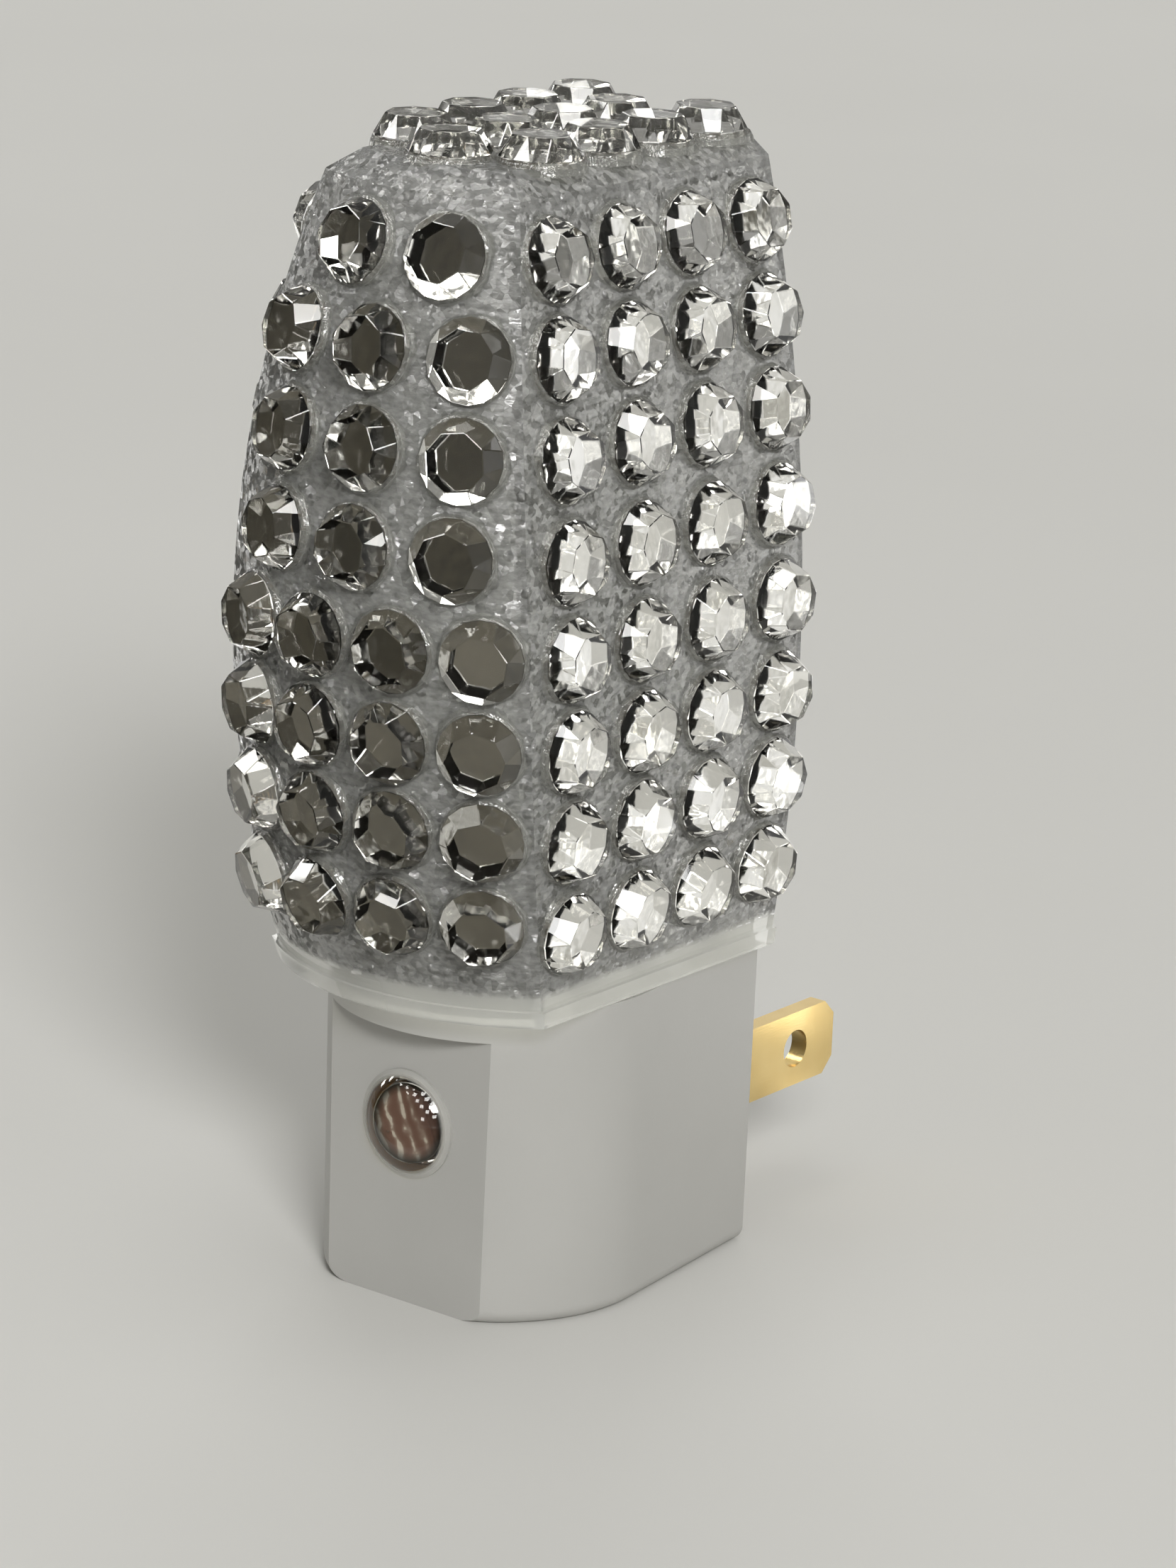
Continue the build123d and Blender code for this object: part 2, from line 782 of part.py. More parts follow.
def side_places(side):
    """Places of the stones on one side: columns spread from the crease to the rear edge."""
    rows = row_heights(side_band, side_row_gap)
    last_y = shade_rear_y - stone_radius - stone_rear_margin
    margin = stone_radius + stone_edge_margin
    rearmost = max(crease(z) for z in rows)
    columns = int((last_y - rearmost - margin) / (stone_diameter + side_gap)) + 1
    places = []
    for z in rows:
        first_y = (crease(z) + rearmost) / 2 + margin
        for column in range(columns):
            number = len(places) + 1
            y = first_y + (last_y - first_y) * column / (columns - 1)
            height = z + scatter(number)
            lean = (height - side_bulge_z) / side_bulge_radius
            point = (side * side_half_width(height), y, height)
            places.append((point, (side * sqrt(1 - lean**2), 0, lean), 40 * number))
    return places


def front_places():
    """Places of the stones on the bowed front: fewer to a row towards the top."""
    places = []
    for row, z in enumerate(row_heights(front_band, front_row_gap)):
        count = front_row_counts[row % len(front_row_counts)]
        gap = front_gap if count >= front_crowded else front_wide_gap
        half_arc = front_radius(z) * atan2(side_half_width(z), lamp_y - crease(z))
        room = half_arc - stone_radius - stone_edge_margin
        reach = min((stone_diameter + gap) * (count - 1) / 2, room)
        wanted = front_row_shifts[row % len(front_row_shifts)]
        shift = max(min(wanted, room - reach), reach - room)
        for column in range(count):
            height = z + scatter(len(places) + 1)
            radius = front_radius(height)
            turn = (shift + reach * (2 * column / (count - 1) - 1)) / radius
            lean = (height - front_bulge_z) / front_bulge_radius
            level = sqrt(1 - lean**2)
            point = (radius * sin(turn), lamp_y - radius * cos(turn), height)
            normal = (level * sin(turn), -level * cos(turn), lean)
            places.append((point, normal, 25 * len(places)))
    return places


def top_places():
    """Places of the stones on the crown: three staggered columns, the middle one forward."""
    spacing = stone_diameter + crown_gap
    offset = min(spacing, side_half_width(shade_edge_z) - stone_radius)
    pitch = max(spacing, 2 * sqrt(spacing**2 - offset**2))
    front_y = lamp_y - front_radius(shade_edge_z) + crown_inset + stone_radius
    last_y = shade_rear_y - stone_rear_margin - stone_radius
    places = []
    for column in (-1, 0, 1):
        y = front_y if column == 0 else front_y + pitch / 2
        while y <= last_y:
            places.append(((column * offset, y, crown_z), (0, 0, 1), 35 * len(places)))
            y += pitch
    return places


def group(solids):
    """Separate solids kept together in one node."""
    return Compound([solid.solid() for solid in solids])


nodes = {
    "front_housing": front_housing(),
    "rear_cover": rear_cover(),
    "blade_hot": blade(blade_spacing / 2, hot_blade_width),
    "blade_neutral": blade(-blade_spacing / 2, neutral_blade_width),
    "cover_screws": group([cover_screw(x, z) for x, z in screw_places]),
    "sensor_lens": sensor_lens(),
    "photocell": photocell(),
    "circuit_board": circuit_board(),
    "thyristor": thyristor(),
    "resistors": group(resistors()),
    "wire_line": wire_line(),
    "wire_neutral": wire_neutral(),
    "wire_lamp": wire_lamp(),
    "socket_insulator": socket_insulator(),
    "socket_shell": socket_shell(),
    "socket_contact": socket_contact(),
    "lamp_tip": lamp_tip(),
    "lamp_insulator": lamp_insulator(),
    "lamp_cap": lamp_cap(),
    "lamp_glass": lamp_glass(),
    "lamp_stem": lamp_stem(),
    "filament_supports": group(filament_supports()),
    "filament": filament(),
    "shade": shade(),
    "stones_front": group(laid_stones(front_places())),
    "stones_left": group(laid_stones(side_places(-1))),
    "stones_right": group(laid_stones(side_places(1))),
    "stones_top": group(laid_stones(top_places())),
}

os.makedirs("parts", exist_ok=True)
for node, shape in nodes.items():
    export_step(shape, f"parts/{node}.step")
    print(node, len(shape.solids()), "solids", round(sum(s.volume for s in shape.solids()), 1))
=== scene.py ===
# %% [markdown]
# # A plug-in night light under a shade of faceted stones
# The real thing is a lamp about as long as a palm is wide, and it hangs on its own plug. A white moulded
# base holds the blades, a light sensor and a small screw lamp, and a clear shade covered with glued-on
# stones drops over the lamp. The solid model gives every size and place, so this script only loads it,
# finishes its surfaces and cuts the stones. Everything is in metres: +Z is up, and the blades point
# along +Y.

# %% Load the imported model
import bmesh
import bpy
import random
from math import atan2, cos, pi, radians, sin, tau
from mathutils import Matrix, Vector


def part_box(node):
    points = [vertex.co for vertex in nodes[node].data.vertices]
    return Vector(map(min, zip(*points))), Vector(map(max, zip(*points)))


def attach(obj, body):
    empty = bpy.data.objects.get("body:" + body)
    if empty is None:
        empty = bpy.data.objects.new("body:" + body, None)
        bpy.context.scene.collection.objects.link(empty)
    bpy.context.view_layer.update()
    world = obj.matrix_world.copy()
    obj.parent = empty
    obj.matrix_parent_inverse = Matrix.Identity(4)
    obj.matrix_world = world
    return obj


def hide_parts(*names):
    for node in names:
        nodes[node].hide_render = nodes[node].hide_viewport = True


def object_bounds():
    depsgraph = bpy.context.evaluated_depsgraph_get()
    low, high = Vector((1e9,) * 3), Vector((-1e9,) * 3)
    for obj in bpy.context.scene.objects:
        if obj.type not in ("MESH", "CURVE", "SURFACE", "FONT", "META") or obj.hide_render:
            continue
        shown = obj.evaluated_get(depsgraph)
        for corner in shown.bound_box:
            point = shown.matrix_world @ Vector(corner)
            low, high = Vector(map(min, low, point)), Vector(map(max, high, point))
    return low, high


MM = 0.001
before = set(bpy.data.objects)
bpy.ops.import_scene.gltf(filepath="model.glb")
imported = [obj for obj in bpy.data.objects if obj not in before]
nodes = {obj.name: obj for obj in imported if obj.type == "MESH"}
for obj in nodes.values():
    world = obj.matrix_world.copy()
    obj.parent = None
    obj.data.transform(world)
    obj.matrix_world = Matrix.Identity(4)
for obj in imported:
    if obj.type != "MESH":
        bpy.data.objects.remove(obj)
cad_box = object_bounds()

# %% [markdown]
# A few helpers serve every finish below. Colours are written as on a colour chart, as sRGB hex values,
# while the renderer works in linear light, so one function converts them. Another adds a shader node: its
# settings are plain properties, its values go straight on its sockets, its links come from other nodes,
# and a colour ramp also gets its tones. A finish starts as an empty material and ends at the material's
# output. A clear one lets some of the lamps' light through to what lies behind it, because a renderer
# that follows light backwards hardly ever finds a small lamp through glass.

# %% Colour and node helpers
def srgb(chart_colour):
    """Linear colour of an sRGB hex value such as #C4C3BE."""
    channels = [int(chart_colour[i:i + 2], 16) / 255 for i in (1, 3, 5)]
    linear = [c / 12.92 if c <= 0.04045 else ((c + 0.055) / 1.055) ** 2.4 for c in channels]
    return (*linear, 1.0)


def add(tree, kind, values=None, links=None, tones=(), **settings):
    """Add one node, with its settings, socket values, incoming links and the tones of a colour ramp."""
    node = tree.nodes.new(kind)
    for name, value in settings.items():
        setattr(node, name, value)
    for name, value in (values or {}).items():
        node.inputs[name].default_value = value
    for name, output in (links or {}).items():
        tree.links.new(output, node.inputs[name])
    for index, (start, colour) in enumerate(tones):
        steps = node.color_ramp.elements
        step = steps[index] if index < len(steps) else steps.new(start)
        step.position = start
        step.color = srgb(colour)
    return node


def new_finish(name):
    """An empty material, its node tree and the object coordinates that its patterns read."""
    finish = bpy.data.materials.new(name)
    finish.use_nodes = True
    tree = finish.node_tree
    tree.nodes.clear()
    place = add(tree, "ShaderNodeTexCoord").outputs["Object"]
    return finish, tree, place


def surface(tree, shader, shadow_tint=None):
    """Send a shader to the output. A clear one has a tint for the light that comes through it."""
    sent = shader.outputs["BSDF"]
    if shadow_tint:
        path = add(tree, "ShaderNodeLightPath")
        way = add(tree, "ShaderNodeBsdfTransparent", {"Color": srgb(shadow_tint)})
        sides = {0: path.outputs["Is Shadow Ray"], 1: sent, 2: way.outputs["BSDF"]}
        sent = add(tree, "ShaderNodeMixShader", links=sides).outputs["Shader"]
    add(tree, "ShaderNodeOutputMaterial", links={"Surface": sent})


print("middle grey on the chart is", round(srgb("#808080")[0], 3), "in linear light")

# %% [markdown]
# The photograph was taken from above and to the right of the light, close enough for some
# perspective. A camera placed by eye would never quite match it, so this one's place and axes were fitted
# to corners of the solid model. Its lens follows from the focal length in picture heights.

# %% Camera
PICTURE_HEIGHT = 2212
FOCAL_PIXELS = 7841
SENSOR = 36.0

camera_place = Vector((0.25656, -0.34480, 0.15019))
camera_right = Vector((0.78774, 0.61489, 0.03711)).normalized()
camera_forward = Vector((-0.58191, 0.76255, -0.28266)).normalized()
camera_up = camera_right.cross(camera_forward)

camera_data = bpy.data.cameras.new("camera")
camera_data.sensor_width = SENSOR
camera_data.lens = SENSOR * FOCAL_PIXELS / PICTURE_HEIGHT
camera_data.clip_start = 10 * MM
camera = bpy.data.objects.new("camera", camera_data)
axes = Matrix((camera_right, camera_up, -camera_forward)).transposed()
camera.matrix_world = Matrix.Translation(camera_place) @ axes.to_4x4()
bpy.context.collection.objects.link(camera)
bpy.context.scene.camera = camera
bpy.context.scene.view_settings.view_transform = "Standard"
print("lens", round(camera_data.lens, 1), "mm")

# %% [markdown]
# The light stands on a plain pale floor of paper. A bent backdrop would hide the far edge of a small
# sheet, but one flat square that is wide enough needs no bend, and its edges stay out of the views.

# %% Floor
FLOOR_SIZE = 30.0
FLOOR_Z = cad_box[0][2]
PAPER_CLOUD = 167 * MM


def stage_plate(name, finish, size):
    """A flat plate on the stage, square to Z and centred on the origin."""
    bm = bmesh.new()
    bmesh.ops.create_grid(bm, x_segments=1, y_segments=1, size=0.5)
    bmesh.ops.scale(bm, vec=(*size, 1), verts=bm.verts)
    mesh = bpy.data.meshes.new(name)
    bm.to_mesh(mesh)
    bm.free()
    mesh.materials.append(finish)
    plate = bpy.data.objects.new(name, mesh)
    bpy.context.collection.objects.link(plate)
    return plate


# Matt paper: soft clouds a little darker and lighter, and no gloss, so that it mirrors no card
paper, tree, place = new_finish("matt_paper")
clouds = add(tree, "ShaderNodeTexNoise", {"Scale": 1 / PAPER_CLOUD, "Detail": 3.0}, {"Vector": place})
tone = add(
    tree,
    "ShaderNodeValToRGB",
    links={"Fac": clouds.outputs["Fac"]},
    tones=((0, "#D4D3CF"), (1, "#DCDBD7")),
)
shader = add(
    tree,
    "ShaderNodeBsdfPrincipled",
    {"Roughness": 0.9, "Specular IOR Level": 0.0},
    {"Base Color": tone.outputs["Color"]},
)
surface(tree, shader)
floor = stage_plate("floor", paper, (FLOOR_SIZE, FLOOR_SIZE))
floor.location.z = FLOOR_Z
print("floor at", round(FLOOR_Z / MM, 1), "mm")

# %% [markdown]
# Cut stones are mirrors: what they show is the room. The tables of the front stones are dark in the
# photograph, so a card of dark felt stands in front of the light and another lies before it, where those
# tables look. Painting the stones dark would be simpler, but would look wrong from every other side. Only
# mirrored and refracted rays see the cards, so they change neither the floor nor the light.

# %% Dark cards
FELT_NAP = 20 * MM
MAT_Z = FLOOR_Z + MM


def aim(thing, place, target):
    """Put a stage object somewhere, with its -Z axis towards a target."""
    direction = Vector(target) - Vector(place)
    thing.location = place
    thing.rotation_euler = direction.to_track_quat("-Z", "Y").to_euler()


def mirror_card(name, finish, size, place, target):
    """A card that shows in mirrors and glass alone."""
    card = stage_plate(name, finish, size)
    aim(card, place, target)
    card.visible_camera = False
    card.visible_diffuse = False
    card.visible_shadow = False


# Felt: brown-grey and dull, with a soft uneven nap
felt, tree, place = new_finish("brown_felt")
nap = add(tree, "ShaderNodeTexNoise", {"Scale": 1 / FELT_NAP, "Detail": 3.0}, {"Vector": place})
tone = add(
    tree,
    "ShaderNodeValToRGB",
    links={"Fac": nap.outputs["Fac"]},
    tones=((0.35, "#37342A"), (0.65, "#544F41")),
)
shader = add(tree, "ShaderNodeBsdfPrincipled", {"Roughness": 1.0}, {"Base Color": tone.outputs["Color"]})
surface(tree, shader)
mirror_card(
    "dark_card", felt, size=(0.38, 0.17), place=(-0.068, -0.159, 0.0725), target=(0.016, -0.047, 0.0725)
)
mirror_card(
    "dark_mat", felt, size=(0.29, 0.285), place=(-0.010, -0.1875, MAT_Z), target=(-0.010, -0.1875, 1)
)
print("the mat lies", round((MAT_Z - FLOOR_Z) / MM, 1), "mm above the floor")

# %% [markdown]
# Stones that are turned to the left show a mixture, with a few bright and warm bits, so the card that lies
# there is pebbled. Voronoi cells are the pebbles, and the random colour of each cell picks its tone.

# %% Pebbled card
PEBBLE = 14 * MM

# Pebbled card: dark, with pale and tan pebbles
pebbles, tree, place = new_finish("pebbled_card")
cells = add(tree, "ShaderNodeTexVoronoi", {"Scale": 1 / PEBBLE}, {"Vector": place})
pick = add(tree, "ShaderNodeSeparateColor", links={"Color": cells.outputs["Color"]})
tone = add(
    tree,
    "ShaderNodeValToRGB",
    links={"Fac": pick.outputs["Red"]},
    tones=((0, "#2A271E"), (0.5, "#5A5548"), (0.72, "#9C7F55"), (0.82, "#FFFFFF")),
)
tone.color_ramp.interpolation = "CONSTANT"
shader = add(tree, "ShaderNodeBsdfPrincipled", {"Roughness": 0.9}, {"Base Color": tone.outputs["Color"]})
surface(tree, shader)
mirror_card(
    "pebbled_mat", pebbles, size=(0.26, 0.30), place=(-0.255, -0.080, MAT_Z), target=(-0.255, -0.080, 1)
)
print("pebbles of", round(PEBBLE / MM), "mm")

# %% [markdown]
# The stones on the right are bright and mottled. So a card that glows in patches stands behind the light,
# with a dimmer one above it for the stones on top, and small bright spots on both make sparkles. Glow that
# a stone throws down would leave blotches on the floor, so the cards are dark to a ray that has already
# left a matt surface.

# %% Lit cards
GLOW_PATCH = 11 * MM
SPOT_SIZE = 3.5 * MM
SPOT_START = 0.93
SPOT_FULL = 0.94
LIT_SIZE = (0.80, 0.30)
LIT_X = 50 * MM
LIT_Y = 30 * MM
LIT_MEET_Z = 70 * MM


def glowing(tree, colour, strength):
    """Light that mirrors and glass show, but that is not thrown on to matt surfaces."""
    path = add(tree, "ShaderNodeLightPath")
    unspread = add(
        tree, "ShaderNodeMath", {1: 0.5}, {0: path.outputs["Diffuse Depth"]}, operation="LESS_THAN"
    )
    power = add(
        tree, "ShaderNodeMath", links={0: strength, 1: unspread.outputs["Value"]}, operation="MULTIPLY"
    )
    light = add(tree, "ShaderNodeEmission", links={"Color": colour, "Strength": power.outputs["Value"]})
    add(tree, "ShaderNodeOutputMaterial", links={"Surface": light.outputs["Emission"]})


def lit_paper(name, strength, spot_strength, dark):
    """Paper lit from behind: it glows in patches, down to a dark tone, with a few bright spots."""
    finish, tree, place = new_finish(name)
    patches = add(tree, "ShaderNodeTexNoise", {"Scale": 1 / GLOW_PATCH, "Detail": 3.0}, {"Vector": place})
    tone = add(
        tree,
        "ShaderNodeValToRGB",
        links={"Fac": patches.outputs["Fac"]},
        tones=((0.34, dark), (0.48, "#DDDCD7"), (0.62, "#FFFFFF")),
    )
    spots = add(tree, "ShaderNodeTexVoronoi", {"Scale": 1 / SPOT_SIZE}, {"Vector": place})
    pick = add(tree, "ShaderNodeSeparateColor", links={"Color": spots.outputs["Color"]})
    power = add(
        tree,
        "ShaderNodeMapRange",
        {"From Min": SPOT_START, "From Max": SPOT_FULL, "To Min": strength, "To Max": spot_strength},
        {"Value": pick.outputs["Red"]},
    )
    glowing(tree, tone.outputs["Color"], power.outputs["Result"])
    return finish


glow = lit_paper("lit_paper", strength=1.05, spot_strength=5.0, dark="#A4A29A")
dim_glow = lit_paper("dim_paper", strength=0.4, spot_strength=3.0, dark="#2A2820")
for name, finish, upwards in (("lit_card", glow, -1), ("dim_card", dim_glow, 1)):
    middle_z = LIT_MEET_Z + upwards * LIT_SIZE[1] / 2
    mirror_card(name, finish, LIT_SIZE, place=(LIT_X, LIT_Y, middle_z), target=(LIT_X, -1, middle_z))
print("lit cards meet at", round(LIT_MEET_Z / MM), "mm")

# %% [markdown]
# A room also has lamps and windows, and they put glints on the facets that look up. Here they are small
# bright panes on the front half of the sky. They lie on a spiral: each one is a golden section of the
# sweep further round than the last, which spreads them evenly without rows.

# %% Bright panes
PANES = 64
PANE_SIZE = (0.05, 0.05)
PANE_DISTANCE = 0.5
PANE_SHEEN = 20 * MM
PANE_LOWEST = radians(10)
PANE_CLIMB = radians(65)
SWEEP_START = radians(-200)
SWEEP = radians(220)
GOLDEN_STEP = 0.618
LIGHT_MIDDLE = (0, -0.02, 0.03)

# Bright pane: white, with an uneven sheen
pane_light, tree, place = new_finish("bright_pane")
sheen = add(tree, "ShaderNodeTexNoise", {"Scale": 1 / PANE_SHEEN}, {"Vector": place})
tone = add(
    tree,
    "ShaderNodeValToRGB",
    links={"Fac": sheen.outputs["Fac"]},
    tones=((0.3, "#F4F1EA"), (0.7, "#FFFFFF")),
)
power = add(
    tree, "ShaderNodeMapRange", {"To Min": 13.0, "To Max": 19.0}, {"Value": sheen.outputs["Fac"]}
)
glowing(tree, tone.outputs["Color"], power.outputs["Result"])

for number in range(PANES):
    elevation = PANE_LOWEST + PANE_CLIMB * number / PANES
    azimuth = SWEEP_START + SWEEP * (GOLDEN_STEP * number % 1)
    across = PANE_DISTANCE * cos(elevation)
    spot = (across * cos(azimuth), across * sin(azimuth), PANE_DISTANCE * sin(elevation))
    mirror_card("pane_" + str(number), pane_light, PANE_SIZE, spot, LIGHT_MIDDLE)
print(PANES, "panes")

# %% [markdown]
# A soft sun comes from the right and a wide lamp from above, as in the photograph. The sun lights the
# whole floor evenly, because its rays do not spread, and the wide lamps hang metres away for the same
# reason. Only a small lamp is close, a little above the camera, and puts sparks on the facets. The top
# lamp is kept out of the mirrors, where it would show as a white square.

# %% Light
SUN_SPREAD = radians(14)
SUN_STRENGTH = 1.7
SKY_STRENGTH = 0.26


def hang(data, place):
    """Put a lamp somewhere, pointing at the middle of the object."""
    lamp = bpy.data.objects.new(data.name, data)
    bpy.context.collection.objects.link(lamp)
    aim(lamp, place, LIGHT_MIDDLE)
    return lamp


def soft_lamp(name, place, size, watts):
    """A square lamp."""
    data = bpy.data.lights.new(name, "AREA")
    data.size = size
    data.energy = watts
    return hang(data, place)


key = bpy.data.lights.new("key", "SUN")
key.angle = SUN_SPREAD
key.energy = SUN_STRENGTH
hang(key, (0.60, -0.52, 0.48))
top = soft_lamp("top", place=(0.0, -0.10, 3.00), size=1.6, watts=18.0)
top.visible_glossy = False
soft_lamp("back", place=(-1.45, 1.90, 1.50), size=1.5, watts=14.0)
soft_lamp("spark", place=(0.30, -0.36, 0.30), size=0.06, watts=0.4)

world = bpy.data.worlds.new("studio")
world.use_nodes = True
sky = world.node_tree.nodes["Background"]
sky.inputs["Color"].default_value = srgb("#F4F3EC")
sky.inputs["Strength"].default_value = SKY_STRENGTH
bpy.context.scene.world = world
print("lamps", [lamp.name for lamp in bpy.data.lights])

# %% [markdown]
# The base and its cover are injection-moulded ABS. Its mould was spark-eroded, which leaves a fine
# even grain that spreads highlights, and the pigment varies a little from place to place. To model a
# grain would take millions of faces, so both are noise: a wide one for the tone, a fine one for the bump.

# %% White ABS
PIGMENT_CLOUD = 9 * MM
# A real grain is finer: this is as coarse as it needs to be to show
GRAIN = 0.25 * MM


def dress(finish, *names):
    """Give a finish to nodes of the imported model."""
    for name in names:
        for slot in nodes[name].material_slots:
            slot.material = finish
    print(finish.name, "on", ", ".join(names))


def moulded_abs(name, light, dark):
    """Satin moulded plastic: soft tone changes, and a spark-eroded grain."""
    finish, tree, place = new_finish(name)
    cloud = add(tree, "ShaderNodeTexNoise", {"Scale": 1 / PIGMENT_CLOUD, "Detail": 2.0}, {"Vector": place})
    tone = add(
        tree,
        "ShaderNodeMix",
        {"A": srgb(dark), "B": srgb(light)},
        {"Factor": cloud.outputs["Fac"]},
        data_type="RGBA",
    )
    grain = add(tree, "ShaderNodeTexNoise", {"Scale": 1 / GRAIN, "Detail": 2.0}, {"Vector": place})
    bump = add(
        tree, "ShaderNodeBump", {"Strength": 0.35, "Distance": 0.02 * MM}, {"Height": grain.outputs["Fac"]}
    )
    shader = add(
        tree,
        "ShaderNodeBsdfPrincipled",
        {"Roughness": 0.42, "IOR": 1.53},
        {"Base Color": tone.outputs["Result"], "Normal": bump.outputs["Normal"]},
    )
    surface(tree, shader)
    return finish


dress(moulded_abs("white_abs_base", "#B5B4B0", "#AEADA9"), "front_housing")
dress(moulded_abs("white_abs_cover", "#B2B1AC", "#ABAAA5"), "rear_cover")

# %% [markdown]
# Each blade is stamped from brass strip. The die leaves fine scratches along the blade, and handling
# dulls the metal in patches. A noise that is stretched along one axis makes the scratches, for the
# roughness and the bump, and a plain one makes the patches, for the colour. The other bare metals differ
# only in colour, gloss and scratch width, so one function makes them all.

# %% Stamped and drawn metals
SCRATCH_STRETCH = 20
DULL_PATCH = 3 * MM


def drawn_metal(name, colour, dull, roughness, scratch):
    """Bare metal with scratches that run along Y, drawn a little wider than real ones so that they show."""
    finish, tree, place = new_finish(name)
    stretch = add(tree, "ShaderNodeMapping", {"Scale": (1, 1 / SCRATCH_STRETCH, 1)}, {"Vector": place})
    lines = add(
        tree,
        "ShaderNodeTexNoise",
        {"Scale": 1 / scratch, "Detail": 3.0},
        {"Vector": stretch.outputs["Vector"]},
    )
    patches = add(tree, "ShaderNodeTexNoise", {"Scale": 1 / DULL_PATCH}, {"Vector": place})
    tone = add(
        tree,
        "ShaderNodeMix",
        {"A": srgb(colour), "B": srgb(dull)},
        {"Factor": patches.outputs["Fac"]},
        data_type="RGBA",
    )
    rough = add(
        tree,
        "ShaderNodeMapRange",
        {"To Min": roughness - 0.05, "To Max": roughness + 0.06},
        {"Value": lines.outputs["Fac"]},
    )
    bump = add(
        tree, "ShaderNodeBump", {"Strength": 0.3, "Distance": 0.01 * MM}, {"Height": lines.outputs["Fac"]}
    )
    shader = add(
        tree,
        "ShaderNodeBsdfPrincipled",
        {"Metallic": 1.0},
        {
            "Base Color": tone.outputs["Result"],
            "Roughness": rough.outputs["Result"],
            "Normal": bump.outputs["Normal"],
        },
    )
    surface(tree, shader)
    return finish


# Brass strip: warm and bright. Spring brass is a little browner and duller
dress(drawn_metal("stamped_brass", "#DFC68C", "#CDB173", 0.24, 0.08 * MM), "blade_hot", "blade_neutral")
dress(drawn_metal("spring_brass", "#D6BC82", "#BFA267", 0.28, 0.08 * MM), "socket_shell", "socket_contact")
# Zinc plating: cool pale grey, satin
dress(drawn_metal("zinc_plated_steel", "#BFC0BE", "#9A9B98", 0.32, 0.15 * MM), "cover_screws")
# Nickel and tungsten wire: grey and dull, and tungsten is much the darker
dress(drawn_metal("nickel_wire", "#A9A8A2", "#8A8984", 0.35, 0.1 * MM), "filament_supports")
dress(drawn_metal("tungsten", "#6E6C68", "#4E4C49", 0.45, 0.05 * MM), "filament")
# Tin solder: a soft grey blob with a coarse skin
dress(drawn_metal("tin_solder", "#A7A8A8", "#85878A", 0.4, 0.6 * MM), "lamp_tip")

# %% [markdown]
# The lamp's cap is rolled from nickel-plated brass, and its thread is a rounded wave pressed into the
# thin wall. The solid is a plain cup, so this piece takes its place: a cup is spun from its outline, and
# then each point of the wall moves inwards by a cosine of its height, less its turn around the axis,
# which makes the wave climb one pitch per turn. A separate coil round the cup would be easier, but a rolled
# thread has no seam. The wave stays inside the solid.

# %% Lamp cap with its rolled thread
THREAD_PITCH = 2.54 * MM
THREAD_DEPTH = 0.33 * MM
THREAD_FADE = 1.2 * MM
CAP_SKIN = 0.38 * MM
CAP_RINGS = 60
CAP_STEPS = 48
MERGE_DISTANCE = 0.001 * MM
cap_low, cap_high = (Vector(corner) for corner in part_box("lamp_cap"))
cap_middle = (cap_low + cap_high) / 2
cap_radius = (cap_high.x - cap_low.x) / 2


def rolled_cap():
    """A cup around the lamp's axis, with a thread in its wall."""
    inner = cap_radius - CAP_SKIN
    floor_z = cap_low.z + CAP_SKIN
    outline = (
        (0, cap_low.z),
        (cap_radius, cap_low.z),
        (cap_radius, cap_high.z),
        (inner, cap_high.z),
        (inner, floor_z),
        (0, floor_z),
    )
    bm = bmesh.new()
    points = [bm.verts.new((cap_middle.x + out, cap_middle.y, z)) for out, z in outline]
    sides = [bm.edges.new(pair) for pair in zip(points, points[1:])]
    bmesh.ops.subdivide_edges(bm, edges=[sides[1]], cuts=CAP_RINGS)
    bmesh.ops.spin(
        bm,
        geom=bm.verts[:] + bm.edges[:],
        cent=cap_middle,
        axis=(0, 0, 1),
        angle=tau,
        steps=CAP_STEPS,
        use_merge=True,
    )
    bmesh.ops.remove_doubles(bm, verts=bm.verts, dist=MERGE_DISTANCE)
    bmesh.ops.recalc_face_normals(bm, faces=bm.faces)
    for vert in bm.verts:
        out = Vector((vert.co.x - cap_middle.x, vert.co.y - cap_middle.y, 0))
        if out.length < cap_radius - CAP_SKIN / 2:
            continue
        from_end = min(vert.co.z - cap_low.z, cap_high.z - vert.co.z)
        fade = min(1, from_end / THREAD_FADE)
        phase = tau * vert.co.z / THREAD_PITCH - atan2(out.y, out.x)
        vert.co -= out.normalized() * THREAD_DEPTH * fade * (1 - cos(phase)) / 2
    for face in bm.faces:
        face.smooth = True
    return bm


cap_mesh = rolled_cap()
print("the thread runs", round((cap_high.z - cap_low.z) / THREAD_PITCH, 1), "turns up the cap")

# %% [markdown]
# Nickel plating is pale and shiny, with smears from fingers. A smear changes how sharp a mirror is more
# than its colour, so one noise sets the roughness, and the tone only a little. A finished piece names the
# body that it rides on and the solid that it stands for, so that it moves with the lamp.

# %% Nickel plating
SMEAR = 2 * MM
SHARP_EDGE = radians(40)


def finish_piece(name, bm, finishes, body, slot, *replaced):
    """Make an object of a bmesh, and say which body it rides on and what it stands for."""
    mesh = bpy.data.meshes.new(name)
    bm.to_mesh(mesh)
    bm.free()
    for finish in finishes:
        mesh.materials.append(finish)
    piece = bpy.data.objects.new(name, mesh)
    bpy.context.collection.objects.link(piece)
    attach(piece, body)
    if replaced:
        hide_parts(*replaced)
    print(name, "has", len(mesh.polygons), "faces")
    return piece


